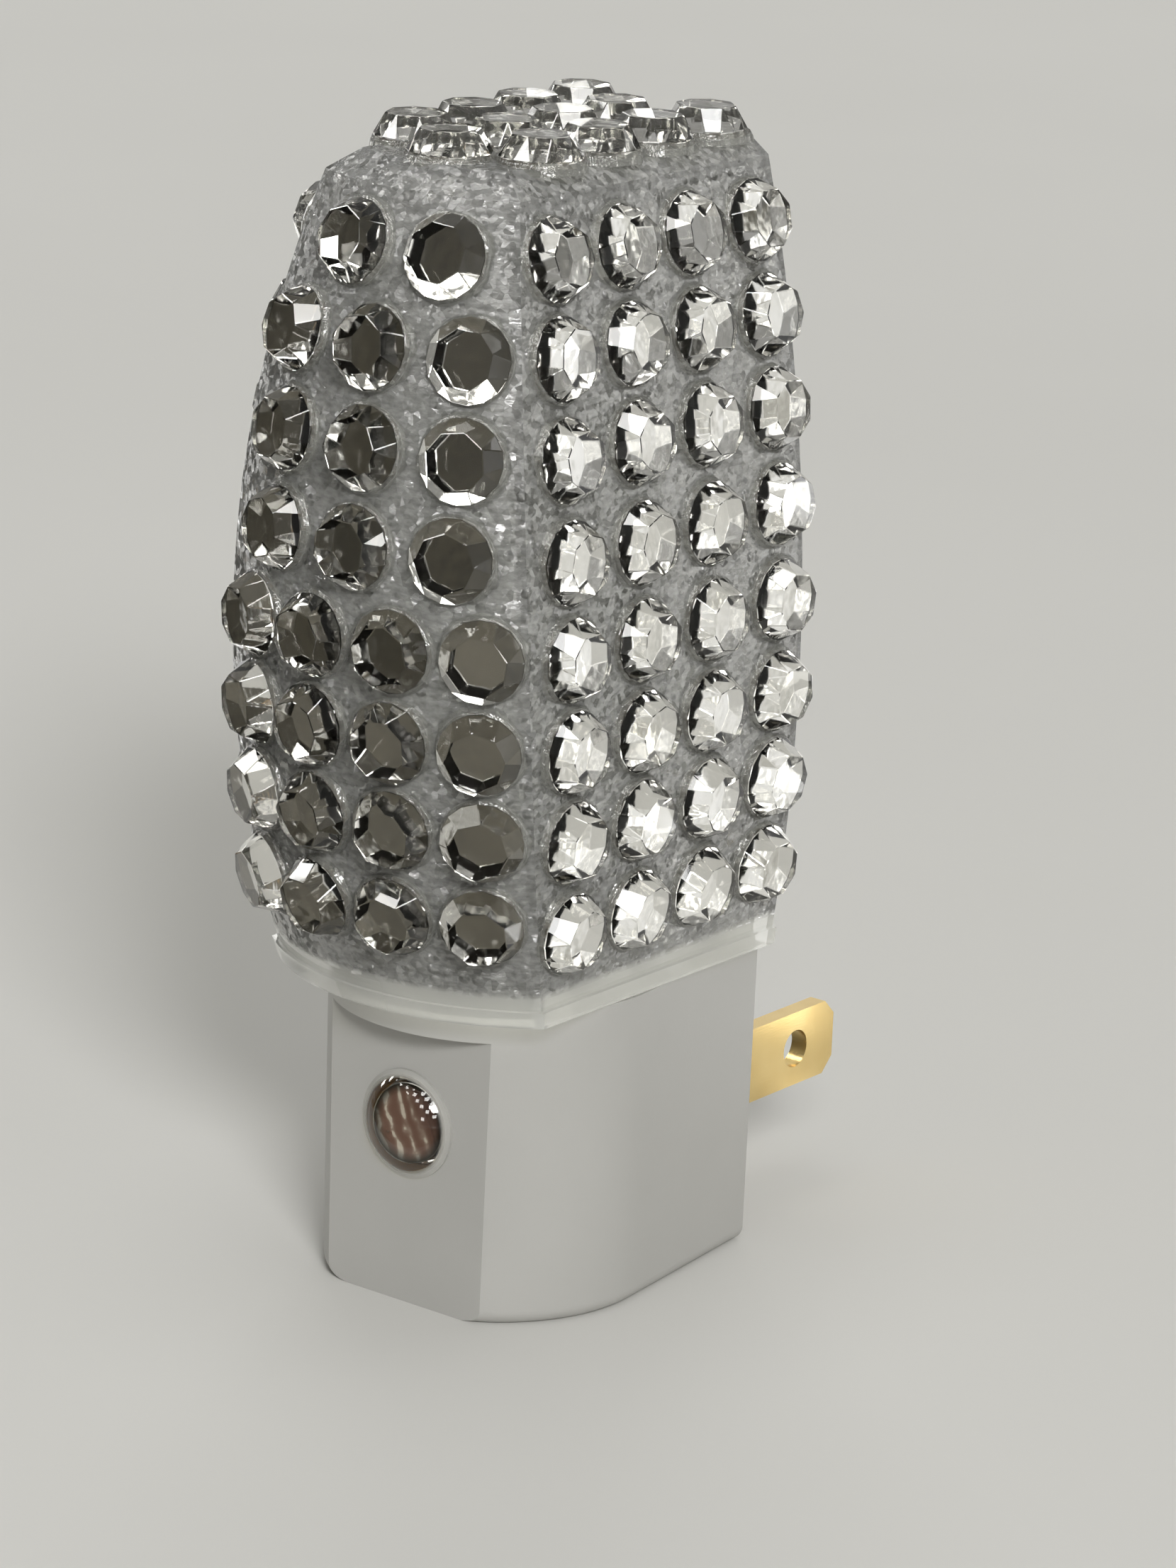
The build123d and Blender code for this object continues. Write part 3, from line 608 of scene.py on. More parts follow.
# Nickel-plated brass: a pale mirror that is blurred in smears
cap_finish, tree, place = new_finish("nickel_plated_brass")
smears = add(tree, "ShaderNodeTexNoise", {"Scale": 1 / SMEAR, "Detail": 3.0}, {"Vector": place})
rough = add(
    tree, "ShaderNodeMapRange", {"To Min": 0.16, "To Max": 0.38}, {"Value": smears.outputs["Fac"]}
)
tone = add(
    tree,
    "ShaderNodeValToRGB",
    links={"Fac": smears.outputs["Fac"]},
    tones=((0.3, "#B7B4AA"), (0.7, "#CFCDC6")),
)
shader = add(
    tree,
    "ShaderNodeBsdfPrincipled",
    {"Metallic": 1.0},
    {"Base Color": tone.outputs["Color"], "Roughness": rough.outputs["Result"]},
)
surface(tree, shader)
cap_piece = finish_piece("rolled_lamp_cap", cap_mesh, [cap_finish], "lamp", "cap_nickel", "lamp_cap")
cap_piece.data.set_sharp_from_angle(angle=SHARP_EDGE)

# %% [markdown]
# The small electrical pieces inside are hidden in use, but show when the light is taken apart: a
# phenolic paper board, black epoxy and phenolic mouldings, the lamp's black glass insulator and PVC
# insulation. All are one colour broken by specks of filler, so one function makes them, and the size of
# the specks and the gloss tell them apart.

# %% Plain electrical mouldings
def speckled(name, light, dark, speck, roughness):
    """A filled or lacquered moulding: one colour, broken by fine specks of filler."""
    finish, tree, place = new_finish(name)
    specks = add(tree, "ShaderNodeTexNoise", {"Scale": 1 / speck, "Detail": 4.0}, {"Vector": place})
    tone = add(
        tree,
        "ShaderNodeMix",
        {"A": srgb(dark), "B": srgb(light)},
        {"Factor": specks.outputs["Fac"]},
        data_type="RGBA",
    )
    bump = add(
        tree, "ShaderNodeBump", {"Strength": 0.3, "Distance": 0.02 * MM}, {"Height": specks.outputs["Fac"]}
    )
    shader = add(
        tree,
        "ShaderNodeBsdfPrincipled",
        {"Roughness": roughness, "IOR": 1.5},
        {"Base Color": tone.outputs["Result"], "Normal": bump.outputs["Normal"]},
    )
    surface(tree, shader)
    return finish


# Phenolic paper: tan and satin. Epoxy and phenolic: black, and duller where there is more filler
dress(speckled("phenolic_paper", "#B98C55", "#9C7342", 0.5 * MM, 0.5), "circuit_board")
dress(speckled("black_epoxy", "#26262A", "#19191B", 0.2 * MM, 0.55), "thyristor")
dress(speckled("black_phenolic", "#2A2725", "#1C1A19", 0.3 * MM, 0.4), "socket_insulator")
# Black glass: shiny. PVC: soft and satin
dress(speckled("black_lamp_glass", "#1E1C22", "#131217", 0.8 * MM, 0.12), "lamp_insulator")
dress(speckled("black_pvc", "#2B2B2D", "#202022", 0.6 * MM, 0.45), "wire_line", "wire_lamp")
dress(speckled("white_pvc", "#D8D6D0", "#CBC9C3", 0.6 * MM, 0.45), "wire_neutral")

# %% [markdown]
# A resistor is a tan lacquered body with rings of colour that give its value, and bare wire at both ends.
# The rings could be modelled, but they are only paint, so a ramp along the body draws them with hard
# edges.

# %% Banded resistors
BANDS = (
    (0.00, "#B9B4A8"),
    (0.24, "#C9A878"),
    (0.32, "#7A4A2A"),
    (0.40, "#C9A878"),
    (0.46, "#23211F"),
    (0.54, "#C9A878"),
    (0.60, "#C8731F"),
    (0.68, "#C9A878"),
    (0.76, "#B9B4A8"),
)
band_low, band_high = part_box("resistors")

# Lacquer: glossy tan with painted rings
resistor_finish, tree, place = new_finish("lacquered_resistor")
apart = add(tree, "ShaderNodeSeparateXYZ", links={"Vector": place})
along = add(
    tree,
    "ShaderNodeMapRange",
    {"From Min": band_low[0], "From Max": band_high[0]},
    {"Value": apart.outputs["X"]},
)
rings = add(tree, "ShaderNodeValToRGB", links={"Fac": along.outputs["Result"]}, tones=BANDS)
rings.color_ramp.interpolation = "CONSTANT"
shader = add(
    tree,
    "ShaderNodeBsdfPrincipled",
    {"Roughness": 0.35, "IOR": 1.5},
    {"Base Color": rings.outputs["Color"]},
)
surface(tree, shader)
dress(resistor_finish, "resistors")

# %% [markdown]
# The light sensor is a cadmium sulphide cell behind a clear lens. The cell shows a red-brown layer with
# pale electrodes that wind across it, and the lens magnifies them into slanted streaks. The tracks could be
# drawn one by one, but only their slant and their broken look can be seen. So they are a distorted wave,
# turned about the cell's axis, and a noise breaks them up. They are also made brighter towards the left,
# which is a painted highlight.

# %% Streaks of the sensor cell
TRACK_PITCH = 0.9 * MM
TRACK_SLANT = radians(24)
MOTTLE = 0.75 * MM


def per_wave(pitch):
    """Scale of a Wave texture whose bands repeat at this pitch, because it repeats every pi / 10."""
    return pi / 10 / pitch


def from_axis(tree, place, node):
    """Distance from the Y axis through a round node's middle, for rings on its face, and its radius."""
    low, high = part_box(node)
    middle = (-(low[0] + high[0]) / 2, 0, -(low[2] + high[2]) / 2)
    flat = add(tree, "ShaderNodeMapping", {"Location": middle, "Scale": (1, 0, 1)}, {"Vector": place})
    away = add(tree, "ShaderNodeVectorMath", links={0: flat.outputs["Vector"]}, operation="LENGTH")
    return away.outputs["Value"], (high[0] - low[0]) / 2


# Cadmium sulphide: red-brown, with pale winding electrodes, under a clear coat, with a painted highlight
# that brightens the streaks on the left and painted shade that darkens the rim
cell_finish, tree, place = new_finish("cadmium_sulphide_cell")
away, cell_radius = from_axis(tree, place, "photocell")
cell_low, cell_high = (Vector(corner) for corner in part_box("photocell"))
turned = Matrix.Rotation(TRACK_SLANT, 3, "Y") @ (cell_low + cell_high) / 2
slant = add(
    tree,
    "ShaderNodeMapping",
    {"Location": -turned, "Rotation": (0, TRACK_SLANT, 0)},
    {"Vector": place},
)
across = add(tree, "ShaderNodeSeparateXYZ", links={"Vector": slant.outputs["Vector"]})
track = add(
    tree,
    "ShaderNodeTexWave",
    {"Scale": per_wave(TRACK_PITCH), "Distortion": 5.0, "Detail": 2.0, "Detail Scale": 1.5},
    {"Vector": slant.outputs["Vector"]},
    wave_type="BANDS",
    bands_direction="X",
)
mottle = add(tree, "ShaderNodeTexNoise", {"Scale": 1 / MOTTLE, "Detail": 3.0}, {"Vector": place})
# Painted highlight: the streaks grow brighter towards the left of the cell
painted_highlight_left = add(
    tree,
    "ShaderNodeMapRange",
    {"From Min": -cell_radius, "From Max": cell_radius, "To Min": 1.5, "To Max": 0.5},
    {"Value": across.outputs["X"]},
)
uneven = add(
    tree,
    "ShaderNodeMath",
    links={0: mottle.outputs["Fac"], 1: painted_highlight_left.outputs["Result"]},
    operation="MULTIPLY",
)
streak = add(
    tree,
    "ShaderNodeMath",
    links={0: track.outputs["Fac"], 1: uneven.outputs["Value"]},
    operation="MULTIPLY",
)
print("streaks every", round(TRACK_PITCH / MM, 2), "mm, cell radius", round(cell_radius / MM, 1), "mm")

# %% [markdown]
# A ramp turns the streaks into the tones of the layer and its electrodes, and its palest tone serves the
# painted highlight. The distance from the cell's axis darkens its rim: that is painted shade.

# %% Colour of the sensor cell
RIM_SHADE_START = 0.75

layer_tones_and_highlight = add(
    tree,
    "ShaderNodeValToRGB",
    links={"Fac": streak.outputs["Value"]},
    tones=((0.05, "#B39389"), (0.32, "#BFA59B"), (0.48, "#D8C8C1"), (0.56, "#FFFBF8")),
)
# Painted shade: the cell grows darker towards its rim
rim = add(
    tree,
    "ShaderNodeMapRange",
    {"From Min": RIM_SHADE_START * cell_radius, "From Max": cell_radius},
    {"Value": away},
)
tone = add(
    tree,
    "ShaderNodeMix",
    {"B": srgb("#3E4038")},
    {"Factor": rim.outputs["Result"], "A": layer_tones_and_highlight.outputs["Color"]},
    data_type="RGBA",
)
shader = add(
    tree,
    "ShaderNodeBsdfPrincipled",
    {"Roughness": 0.3, "IOR": 1.5, "Coat Weight": 0.5, "Coat Roughness": 0.1},
    {"Base Color": tone.outputs["Result"]},
)
surface(tree, shader)
dress(cell_finish, "photocell")

# %% [markdown]
# The lens over the cell is a clear dome, and its flange is frosted and lies on the white base. It is one
# moulding, so one finish does both: the distance from its axis turns the plastic from clear to frosted.

# %% Sensor lens
FLANGE_START = 0.85
FLANGE_FULL = 0.93

# Moulded acrylic: clear and bright in the dome, milky on the flange
lens_finish, tree, place = new_finish("clear_acrylic_lens")
away, lens_radius = from_axis(tree, place, "sensor_lens")
flange = add(
    tree,
    "ShaderNodeMapRange",
    {"From Min": FLANGE_START * lens_radius, "From Max": FLANGE_FULL * lens_radius},
    {"Value": away},
).outputs["Result"]
clear = add(tree, "ShaderNodeMapRange", {"To Min": 1.0, "To Max": 0.35}, {"Value": flange})
rough = add(tree, "ShaderNodeMapRange", {"To Min": 0.02, "To Max": 0.3}, {"Value": flange})
tone = add(tree, "ShaderNodeValToRGB", links={"Fac": flange}, tones=((0, "#F2F0EA"), (1, "#C9C8C3")))
shader = add(
    tree,
    "ShaderNodeBsdfPrincipled",
    {"IOR": 1.49},
    {
        "Base Color": tone.outputs["Color"],
        "Roughness": rough.outputs["Result"],
        "Transmission Weight": clear.outputs["Result"],
    },
)
surface(tree, shader, shadow_tint="#EDEBE4")
dress(lens_finish, "sensor_lens")

# %% [markdown]
# The lamp's envelope and its stem are blown glass, with faint flow lines that bend what shows through it.
# They are too slight to model, so a soft noise in the bump stands for them.

# %% Lamp glass
FLOW_LINE = 3 * MM

# Blown glass: clear, with faint waves
glass_finish, tree, place = new_finish("blown_lamp_glass")
flow = add(tree, "ShaderNodeTexNoise", {"Scale": 1 / FLOW_LINE, "Detail": 1.0}, {"Vector": place})
bump = add(
    tree, "ShaderNodeBump", {"Strength": 0.2, "Distance": 0.05 * MM}, {"Height": flow.outputs["Fac"]}
)
shader = add(
    tree,
    "ShaderNodeBsdfPrincipled",
    {"Base Color": srgb("#F4F5F3"), "Roughness": 0.0, "IOR": 1.47, "Transmission Weight": 1.0},
    {"Normal": bump.outputs["Normal"]},
)
surface(tree, shader, shadow_tint="#F4F5F3")
dress(glass_finish, "lamp_glass", "lamp_stem")

# %% [markdown]
# The shade is clear acrylic, but the photograph shows a silvery grey: fine ribs and dried glue scatter the
# light on its outside. Its inside and the lip at the bottom were left bare, so there the plastic is smooth
# and clear. The shade is one solid with one finish, so the finish itself tells these apart. Height does
# it for the lip. For the wall, a face looks outwards if its normal points away from the shade's middle.

# %% Where the shade is coated
LIP_HEIGHT = 2.6 * MM
LIP_BLEND = 0.3 * MM
shade_low, shade_high = (Vector(corner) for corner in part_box("shade"))
shade_middle = (shade_low + shade_high) / 2
lip_z = shade_low.z + LIP_HEIGHT

# Clear acrylic: silvery under ribs and glue, paler and clearer where it is bare
shade_finish, tree, place = new_finish("ribbed_clear_acrylic")
height = add(tree, "ShaderNodeSeparateXYZ", links={"Vector": place}).outputs["Z"]
above_lip = add(
    tree,
    "ShaderNodeMapRange",
    {"From Min": lip_z - LIP_BLEND, "From Max": lip_z + LIP_BLEND},
    {"Value": height},
)
wall = add(tree, "ShaderNodeNewGeometry")
from_middle = add(tree, "ShaderNodeMapping", {"Location": -shade_middle}, {"Vector": place})
outwards = add(
    tree,
    "ShaderNodeVectorMath",
    links={0: from_middle.outputs["Vector"], 1: wall.outputs["True Normal"]},
    operation="DOT_PRODUCT",
)
seen_out = add(
    tree, "ShaderNodeMath", {1: 0.0}, {0: outwards.outputs["Value"]}, operation="GREATER_THAN"
)
# A normal is turned round where a ray meets the face from behind, so there the answer is the other one
swapped = add(
    tree,
    "ShaderNodeMath",
    links={0: seen_out.outputs["Value"], 1: wall.outputs["Backfacing"]},
    operation="SUBTRACT",
)
outer_wall = add(tree, "ShaderNodeMath", links={0: swapped.outputs["Value"]}, operation="ABSOLUTE")
coated = add(
    tree,
    "ShaderNodeMath",
    links={0: outer_wall.outputs["Value"], 1: above_lip.outputs["Result"]},
    operation="MULTIPLY",
).outputs["Value"]
print("the lip ends at", round(lip_z / MM, 1), "mm")

# %% [markdown]
# The ribs are too fine to model on a wall that curves both ways, so they are a wave along Z in the bump. A
# film of glue fills them between the stones, except in patches, and is uneven itself, so its noise
# follows as a second bump on top of the first.

# %% Ribs and glue film of the shade
RIB_PITCH = 0.8 * MM
GLUE_SPOT = 0.8 * MM
GLUE_SQUASH = 2.2
BARE_PATCH = 4.0 * MM

ribs = add(
    tree,
    "ShaderNodeTexWave",
    {"Scale": per_wave(RIB_PITCH), "Distortion": 0.6, "Detail": 2.0, "Detail Scale": 0.5},
    {"Vector": place},
    wave_type="BANDS",
    bands_direction="Z",
)
squash = add(tree, "ShaderNodeMapping", {"Scale": (1, 1, GLUE_SQUASH)}, {"Vector": place})
glue = add(
    tree,
    "ShaderNodeTexNoise",
    {"Scale": 1 / GLUE_SPOT, "Detail": 3.0},
    {"Vector": squash.outputs["Vector"]},
)
bare = add(tree, "ShaderNodeTexNoise", {"Scale": 1 / BARE_PATCH, "Detail": 1.0}, {"Vector": place})
ribbed = add(
    tree,
    "ShaderNodeMapRange",
    {"From Min": 0.45, "From Max": 0.7},
    {"Value": bare.outputs["Fac"]},
)
rib_strength = add(
    tree, "ShaderNodeMath", links={0: ribbed.outputs["Result"], 1: coated}, operation="MULTIPLY"
)
rib_bump = add(
    tree,
    "ShaderNodeBump",
    {"Distance": 0.08 * MM},
    {"Height": ribs.outputs["Fac"], "Strength": rib_strength.outputs["Value"]},
)
glue_bump = add(
    tree,
    "ShaderNodeBump",
    {"Distance": 0.1 * MM},
    {"Height": glue.outputs["Fac"], "Strength": coated, "Normal": rib_bump.outputs["Normal"]},
)
print("ribs every", round(RIB_PITCH / MM, 2), "mm")

# %% [markdown]
# The glue also stands in small shiny drops, and its skin is full of tiny flakes that glitter, too many to
# model one by one. The drops are the cores of some Voronoi cells, raised as domes. The flakes are smaller
# cells, and the random colour of each one, taken as a direction, tilts the normal over the whole cell, so
# that it flashes as one facet.

# %% Drops and flakes of the shade
DROP_SPACING = 1.1 * MM
DROP_SHARE = 0.5
# Real flakes are finer: these are as coarse as they need to be to show
FLAKE_SIZE = 0.55 * MM
FLAKE_TILT = 0.9

drops = add(tree, "ShaderNodeTexVoronoi", {"Scale": 1 / DROP_SPACING}, {"Vector": place})
dome = add(
    tree,
    "ShaderNodeMapRange",
    {"From Min": 0.1, "From Max": 0.45, "To Min": 1.0, "To Max": 0.0},
    {"Value": drops.outputs["Distance"]},
    interpolation_type="SMOOTHSTEP",
)
pick = add(tree, "ShaderNodeSeparateColor", links={"Color": drops.outputs["Color"]})
some = add(
    tree, "ShaderNodeMath", {1: 1 - DROP_SHARE}, {0: pick.outputs["Red"]}, operation="GREATER_THAN"
)
drop_height = add(
    tree,
    "ShaderNodeMath",
    links={0: dome.outputs["Result"], 1: some.outputs["Value"]},
    operation="MULTIPLY",
)
drop_bump = add(
    tree,
    "ShaderNodeBump",
    {"Distance": 0.3 * MM},
    {"Height": drop_height.outputs["Value"], "Strength": coated, "Normal": glue_bump.outputs["Normal"]},
)
flakes = add(tree, "ShaderNodeTexVoronoi", {"Scale": 1 / FLAKE_SIZE}, {"Vector": place})
lean = add(
    tree,
    "ShaderNodeVectorMath",
    {1: (0.5, 0.5, 0.5)},
    {0: flakes.outputs["Color"]},
    operation="SUBTRACT",
)
tilt = add(tree, "ShaderNodeMath", {1: FLAKE_TILT}, {0: coated}, operation="MULTIPLY")
push = add(
    tree,
    "ShaderNodeVectorMath",
    links={0: lean.outputs["Vector"], "Scale": tilt.outputs["Value"]},
    operation="SCALE",
)
leant = add(
    tree,
    "ShaderNodeVectorMath",
    links={0: drop_bump.outputs["Normal"], 1: push.outputs["Vector"]},
    operation="ADD",
)
facing = add(tree, "ShaderNodeVectorMath", links={0: leant.outputs["Vector"]}, operation="NORMALIZE")
print("drops every", round(DROP_SPACING / MM, 2), "mm, flakes of", round(FLAKE_SIZE / MM, 2), "mm")

# %% [markdown]
# Under its coat the shade is silvery and half clear, and where it is bare it is paler and clearer. Two
# materials would need a cut between them, so the coated share of each place mixes the two looks.

# %% Colour of the shade
silver = add(
    tree,
    "ShaderNodeMix",
    {"A": srgb("#5E5E5C"), "B": srgb("#C2C2C0")},
    {"Factor": glue.outputs["Fac"]},
    data_type="RGBA",
)
tone = add(
    tree,
    "ShaderNodeMix",
    {"A": srgb("#F1F1ED")},
    {"Factor": coated, "B": silver.outputs["Result"]},
    data_type="RGBA",
)
clear = add(tree, "ShaderNodeMapRange", {"To Min": 0.72, "To Max": 0.5}, {"Value": coated})
rough = add(tree, "ShaderNodeMapRange", {"To Min": 0.04, "To Max": 0.07}, {"Value": coated})
shader = add(
    tree,
    "ShaderNodeBsdfPrincipled",
    {"IOR": 1.49},
    {
        "Base Color": tone.outputs["Result"],
        "Roughness": rough.outputs["Result"],
        "Transmission Weight": clear.outputs["Result"],
        "Normal": facing.outputs["Vector"],
    },
)
surface(tree, shader, shadow_tint="#E4E4E0")
dress(shade_finish, "shade")

# %% [markdown]
# The stones are flat-backed: clear crystal cut with a table, eight kites and eight corner facets, and a
# mirror foil behind. A cutter starts from a round blank and grinds flats, and so do these steps. The
# blank is a prism with sixteen sides, one under each facet. It stands on the origin and is turned so that
# the middle of a side lies on the X axis.

# %% Blank for one stone
STONE_RADIUS = 3.25 * MM
STONE_HEIGHT = 2.2 * MM
STONE_SIDES = 8
HALF_STEP = pi / STONE_SIDES

stone = bmesh.new()
bmesh.ops.create_cone(
    stone,
    cap_ends=True,
    segments=2 * STONE_SIDES,
    radius1=STONE_RADIUS,
    radius2=STONE_RADIUS,
    depth=STONE_HEIGHT,
)
bmesh.ops.translate(stone, vec=(0, 0, STONE_HEIGHT / 2), verts=stone.verts)
stone.verts.ensure_lookup_table()
corner = atan2(stone.verts[0].co.y, stone.verts[0].co.x)
spin = Matrix.Rotation(HALF_STEP / 2 - corner, 3, "Z")
bmesh.ops.rotate(stone, cent=(0, 0, 0), matrix=spin, verts=stone.verts)
print("the blank has", len(stone.faces), "faces")

# %% [markdown]
# Each facet is one plane from the top of the girdle to an edge of the table, or to one of its corners, and
# what lies outside the plane is cut away. The points could be worked out instead, but the planes find
# them. The sharp edges then get a narrow bevel, because a real edge always catches a thread of light.

# %% Cut one stone
STONE_GIRDLE = 0.5 * MM
STONE_TABLE = 4.3 * MM
EDGE_BEVEL = 0.05 * MM
CUT_CLOSENESS = 1e-8
flat_reach = STONE_RADIUS * cos(HALF_STEP / 2)
table_reach = STONE_TABLE / 2


def grind(bm, place, outward):
    """Cut away what lies outside a plane and close the cut with a flat facet."""
    parts = bm.verts[:] + bm.edges[:] + bm.faces[:]
    cut = bmesh.ops.bisect_plane(
        bm, geom=parts, dist=CUT_CLOSENESS, plane_co=place, plane_no=outward, clear_outer=True
    )
    rim = [part for part in cut["geom_cut"] if isinstance(part, bmesh.types.BMEdge)]
    bmesh.ops.contextual_create(bm, geom=rim)


for first, reach in ((HALF_STEP, table_reach), (0, table_reach / cos(HALF_STEP))):
    for step in range(STONE_SIDES):
        angle = first + 2 * HALF_STEP * step
        outward = Vector((cos(angle), sin(angle), 0))
        foot = outward * flat_reach + Vector((0, 0, STONE_GIRDLE))
        slope = outward * reach + Vector((0, 0, STONE_HEIGHT)) - foot
        across = Vector((-outward.y, outward.x, 0))
        grind(stone, foot, across.cross(slope).normalized())
bmesh.ops.recalc_face_normals(stone, faces=stone.faces)
bmesh.ops.bevel(
    stone,
    geom=[edge for edge in stone.edges if max(v.co.z for v in edge.verts) > 0],
    offset=EDGE_BEVEL,
    affect="EDGES",
    segments=1,
    profile=0.5,
    material=-1,
)
print("one stone has", len(stone.faces), "faces")

# %% [markdown]
# A stone has three finishes, in this order: crystal in front, foil on its flat back, and lacquer round
# the girdle, whose dark tone is partly painted shade between the stones. The direction and the height of a
# face tell which one it gets.

# %% Sort the faces of a stone
CRYSTAL, FOIL, LACQUER_AND_GAP_SHADE = range(3)
FLAT_BACK = -0.99
UPRIGHT = 0.1

stone.normal_update()
for face in stone.faces:
    low = face.calc_center_median().z < STONE_GIRDLE
    if face.normal.z < FLAT_BACK:
        face.material_index = FOIL
    elif low and abs(face.normal.z) < UPRIGHT:
        face.material_index = LACQUER_AND_GAP_SHADE
    else:
        face.material_index = CRYSTAL
one_stone = bpy.data.meshes.new("stone")
stone.to_mesh(one_stone)
stone.free()
for kind in (CRYSTAL, FOIL, LACQUER_AND_GAP_SHADE):
    print("finish", kind, "on", sum(face.material_index == kind for face in one_stone.polygons), "faces")

# %% [markdown]
# Crystal glass bends light more than window glass, and foil is a bright but slightly wavy mirror.
# Together they make each facet show a different bit of the room. Both are plain shaders, because the
# cut does the work, and each has one soft noise so that no facet is perfect.

# %% Crystal and foil
HAZE = 1.5 * MM
RIPPLE = 1.2 * MM

# Cut crystal: clear and polished, with a breath of haze
crystal, tree, place = new_finish("cut_crystal")
haze = add(tree, "ShaderNodeTexNoise", {"Scale": 1 / HAZE, "Detail": 2.0}, {"Vector": place})
polish = add(tree, "ShaderNodeMapRange", {"To Min": 0.0, "To Max": 0.04}, {"Value": haze.outputs["Fac"]})
shader = add(
    tree,
    "ShaderNodeBsdfPrincipled",
    {"Base Color": srgb("#FAFAF8"), "IOR": 1.56, "Transmission Weight": 1.0},
    {"Roughness": polish.outputs["Result"]},
)
surface(tree, shader)

# Silver foil: a bright mirror that ripples
foil, tree, place = new_finish("mirror_foil")
ripple = add(tree, "ShaderNodeTexNoise", {"Scale": 1 / RIPPLE, "Detail": 1.0}, {"Vector": place})
bump = add(
    tree, "ShaderNodeBump", {"Strength": 0.3, "Distance": 0.05 * MM}, {"Height": ripple.outputs["Fac"]}
)
shader = add(
    tree,
    "ShaderNodeBsdfPrincipled",
    {"Base Color": srgb("#F2F1EE"), "Metallic": 1.0, "Roughness": 0.06},
    {"Normal": bump.outputs["Normal"]},
)
surface(tree, shader)
print("made", crystal.name, "and", foil.name)

# %% [markdown]
# The foil and the dark lacquer that seals it run up round the edge, and draw a broken dark line round
# every stone. The lacquer is real, but its dark line also stands for the shade in the gaps between the
# stones, so it is partly painted shade. One noise makes both: its low part is lacquer, and its high part
# is bare metal.

# %% Back lacquer, partly painted shade
CHIP = 0.9 * MM
CHIP_START = 0.50
CHIP_FULL = 0.54

# Back lacquer: dark and glossy, chipped down to the foil in places; its darkness is partly painted shade
# between the stones
lacquer_and_gap_shade, tree, place = new_finish("back_lacquer_and_gap_shade")
brushed = add(tree, "ShaderNodeTexNoise", {"Scale": 1 / CHIP, "Detail": 2.0}, {"Vector": place})
tone = add(
    tree,
    "ShaderNodeValToRGB",
    links={"Fac": brushed.outputs["Fac"]},
    tones=((0.35, "#4A4841"), (CHIP_START, "#706C64"), (CHIP_FULL, "#E9E8E4")),
)
chips = add(
    tree,
    "ShaderNodeMapRange",
    {"From Min": CHIP_START, "From Max": CHIP_FULL},
    {"Value": brushed.outputs["Fac"]},
)
shader = add(
    tree,
    "ShaderNodeBsdfPrincipled",
    {"Roughness": 0.2, "IOR": 1.5},
    {"Base Color": tone.outputs["Color"], "Metallic": chips.outputs["Result"]},
)
surface(tree, shader)
stone_finishes = [crystal, foil, lacquer_and_gap_shade]
print("stone finishes", [finish.name for finish in stone_finishes])

# %% [markdown]
# The stones were glued on by hand, so no two sit quite alike. Their places could be copied as numbers, but
# read from the solid model they always agree with it: once its loose triangles are merged, a stone has
# just one face with eight corners, its table. The table's normal is the stone's axis, and one of its
# corners tells how the stone is turned.

# %% Set the stones
GROUPS = ("stones_front", "stones_left", "stones_right", "stones_top")
FLAT_ANGLE = radians(1)


def seats(node):
    """A matrix for each stone of a group, from the stone's own axes to its place."""
    bm = bmesh.new()
    bm.from_mesh(node.data)
    bmesh.ops.remove_doubles(bm, verts=bm.verts, dist=MERGE_DISTANCE)
    bmesh.ops.dissolve_limit(bm, angle_limit=FLAT_ANGLE, verts=bm.verts, edges=bm.edges)
    found = []
    for face in bm.faces:
        if len(face.verts) != STONE_SIDES:
            continue
        up = face.normal.normalized()
        middle = face.calc_center_median()
        first = (face.verts[0].co - middle).normalized()
        turn = Matrix((first, up.cross(first), up)).transposed()
        found.append(Matrix.Translation(middle - up * STONE_HEIGHT) @ turn.to_4x4())
    bm.free()
    return found


places = {group: seats(nodes[group]) for group in GROUPS}
for group, group_places in places.items():
    bm = bmesh.new()
    for seat in group_places:
        first = len(bm.verts)
        bm.from_mesh(one_stone)
        bm.verts.ensure_lookup_table()
        bmesh.ops.transform(bm, matrix=seat, verts=bm.verts[first:])
    finish_piece("cut_" + group, bm, stone_finishes, "shade", "stone_glass", group)
    print(group, "has", len(group_places), "stones")

# %% [markdown]
# Clear glue squeezed out round each stone and dried in a shiny, uneven bead. One bead is a small outline
# spun round the stone's axis. A plain ring would look machined, so its width and height change from step
# to step by seeded chance, and every run gives the same beads. The bead's foot lies inside the wall of
# the shade, which curves away under the flat back of the stone.

# %% Shape of the glue beads
BEAD_STEPS = 20
BEAD_FOOT = -0.5 * MM
# Outline of a bead in millimetres: out from where the bead starts, and up from the back of the stone
BEAD_OUTLINE = ((0.0, 0.42), (0.17, 0.30), (0.34, -0.05), (0.42, -0.5), (0.0, -0.5))
BEAD_START = 0.985
BEAD_THIN = 0.5
BEAD_THICK = 1.5
bead_reach = BEAD_START * STONE_RADIUS
chance = random.Random(7)


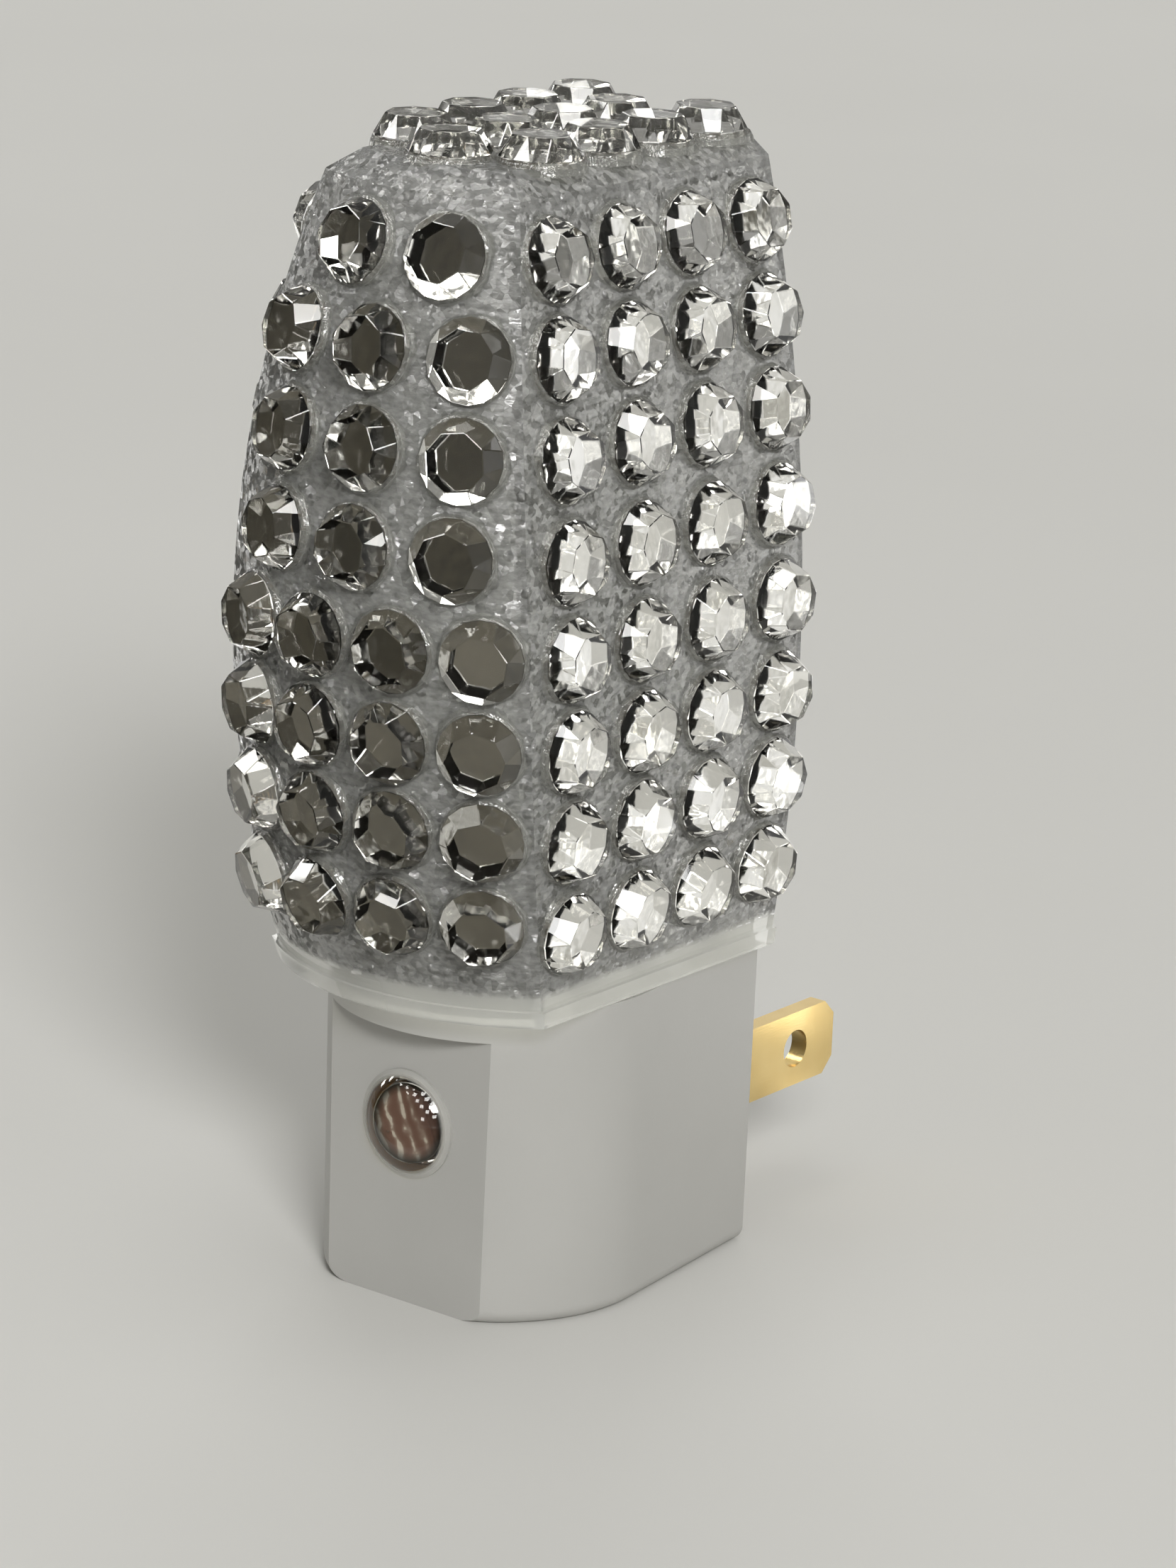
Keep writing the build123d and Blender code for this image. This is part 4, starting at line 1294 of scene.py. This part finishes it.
def glue_bead(bm, seat):
    """Add one bead round the stone at this seat. Its height changes half as much as its width."""
    first = len(bm.verts)
    points = [bm.verts.new((bead_reach + out * MM, 0, rise * MM)) for out, rise in BEAD_OUTLINE]
    sides = [bm.edges.new(pair) for pair in zip(points, points[1:] + points[:1])]
    bmesh.ops.spin(
        bm,
        geom=points + sides,
        cent=(0, 0, 0),
        axis=(0, 0, 1),
        angle=tau,
        steps=BEAD_STEPS,
        use_merge=True,
    )
    widths = [chance.uniform(BEAD_THIN, BEAD_THICK) for step in range(BEAD_STEPS)]
    bm.verts.ensure_lookup_table()
    for vert in bm.verts[first:]:
        step = round(atan2(vert.co.y, vert.co.x) / tau * BEAD_STEPS) % BEAD_STEPS
        out = Vector((vert.co.x, vert.co.y, 0))
        wider = bead_reach + (out.length - bead_reach) * widths[step]
        rise = BEAD_FOOT
        if vert.co.z > BEAD_FOOT:
            rise = max(BEAD_FOOT, vert.co.z * (0.5 + widths[step] / 2))
        vert.co = out.normalized() * wider + Vector((0, 0, rise))
    bmesh.ops.transform(bm, matrix=seat, verts=bm.verts[first:])


bm = bmesh.new()
for group_places in places.values():
    for seat in group_places:
        glue_bead(bm, seat)
bmesh.ops.recalc_face_normals(bm, faces=bm.faces)
print("beads have", len(bm.verts), "points")

# %% [markdown]
# Dried glue is clear and slightly grey, and it wrinkles as it shrinks. The wrinkles are finer than the
# points of a bead, so they go into the bump, and a little into the roughness. Each bead then has several
# small highlights.

# %% Dried glue
WRINKLE = 0.5 * MM

# Dried glue: clear, shiny and wrinkled
glue_finish, tree, place = new_finish("dried_clear_glue")
wrinkles = add(tree, "ShaderNodeTexNoise", {"Scale": 1 / WRINKLE, "Detail": 2.0}, {"Vector": place})
bump = add(
    tree, "ShaderNodeBump", {"Strength": 0.9, "Distance": 0.12 * MM}, {"Height": wrinkles.outputs["Fac"]}
)
rough = add(
    tree, "ShaderNodeMapRange", {"To Min": 0.02, "To Max": 0.1}, {"Value": wrinkles.outputs["Fac"]}
)
shader = add(
    tree,
    "ShaderNodeBsdfPrincipled",
    {"Base Color": srgb("#CFCFCA"), "IOR": 1.47, "Transmission Weight": 0.85},
    {"Roughness": rough.outputs["Result"], "Normal": bump.outputs["Normal"]},
)
surface(tree, shader, shadow_tint="#DADAD6")
finish_piece("glue_beads", bm, [glue_finish], "shade", "shade_clear")
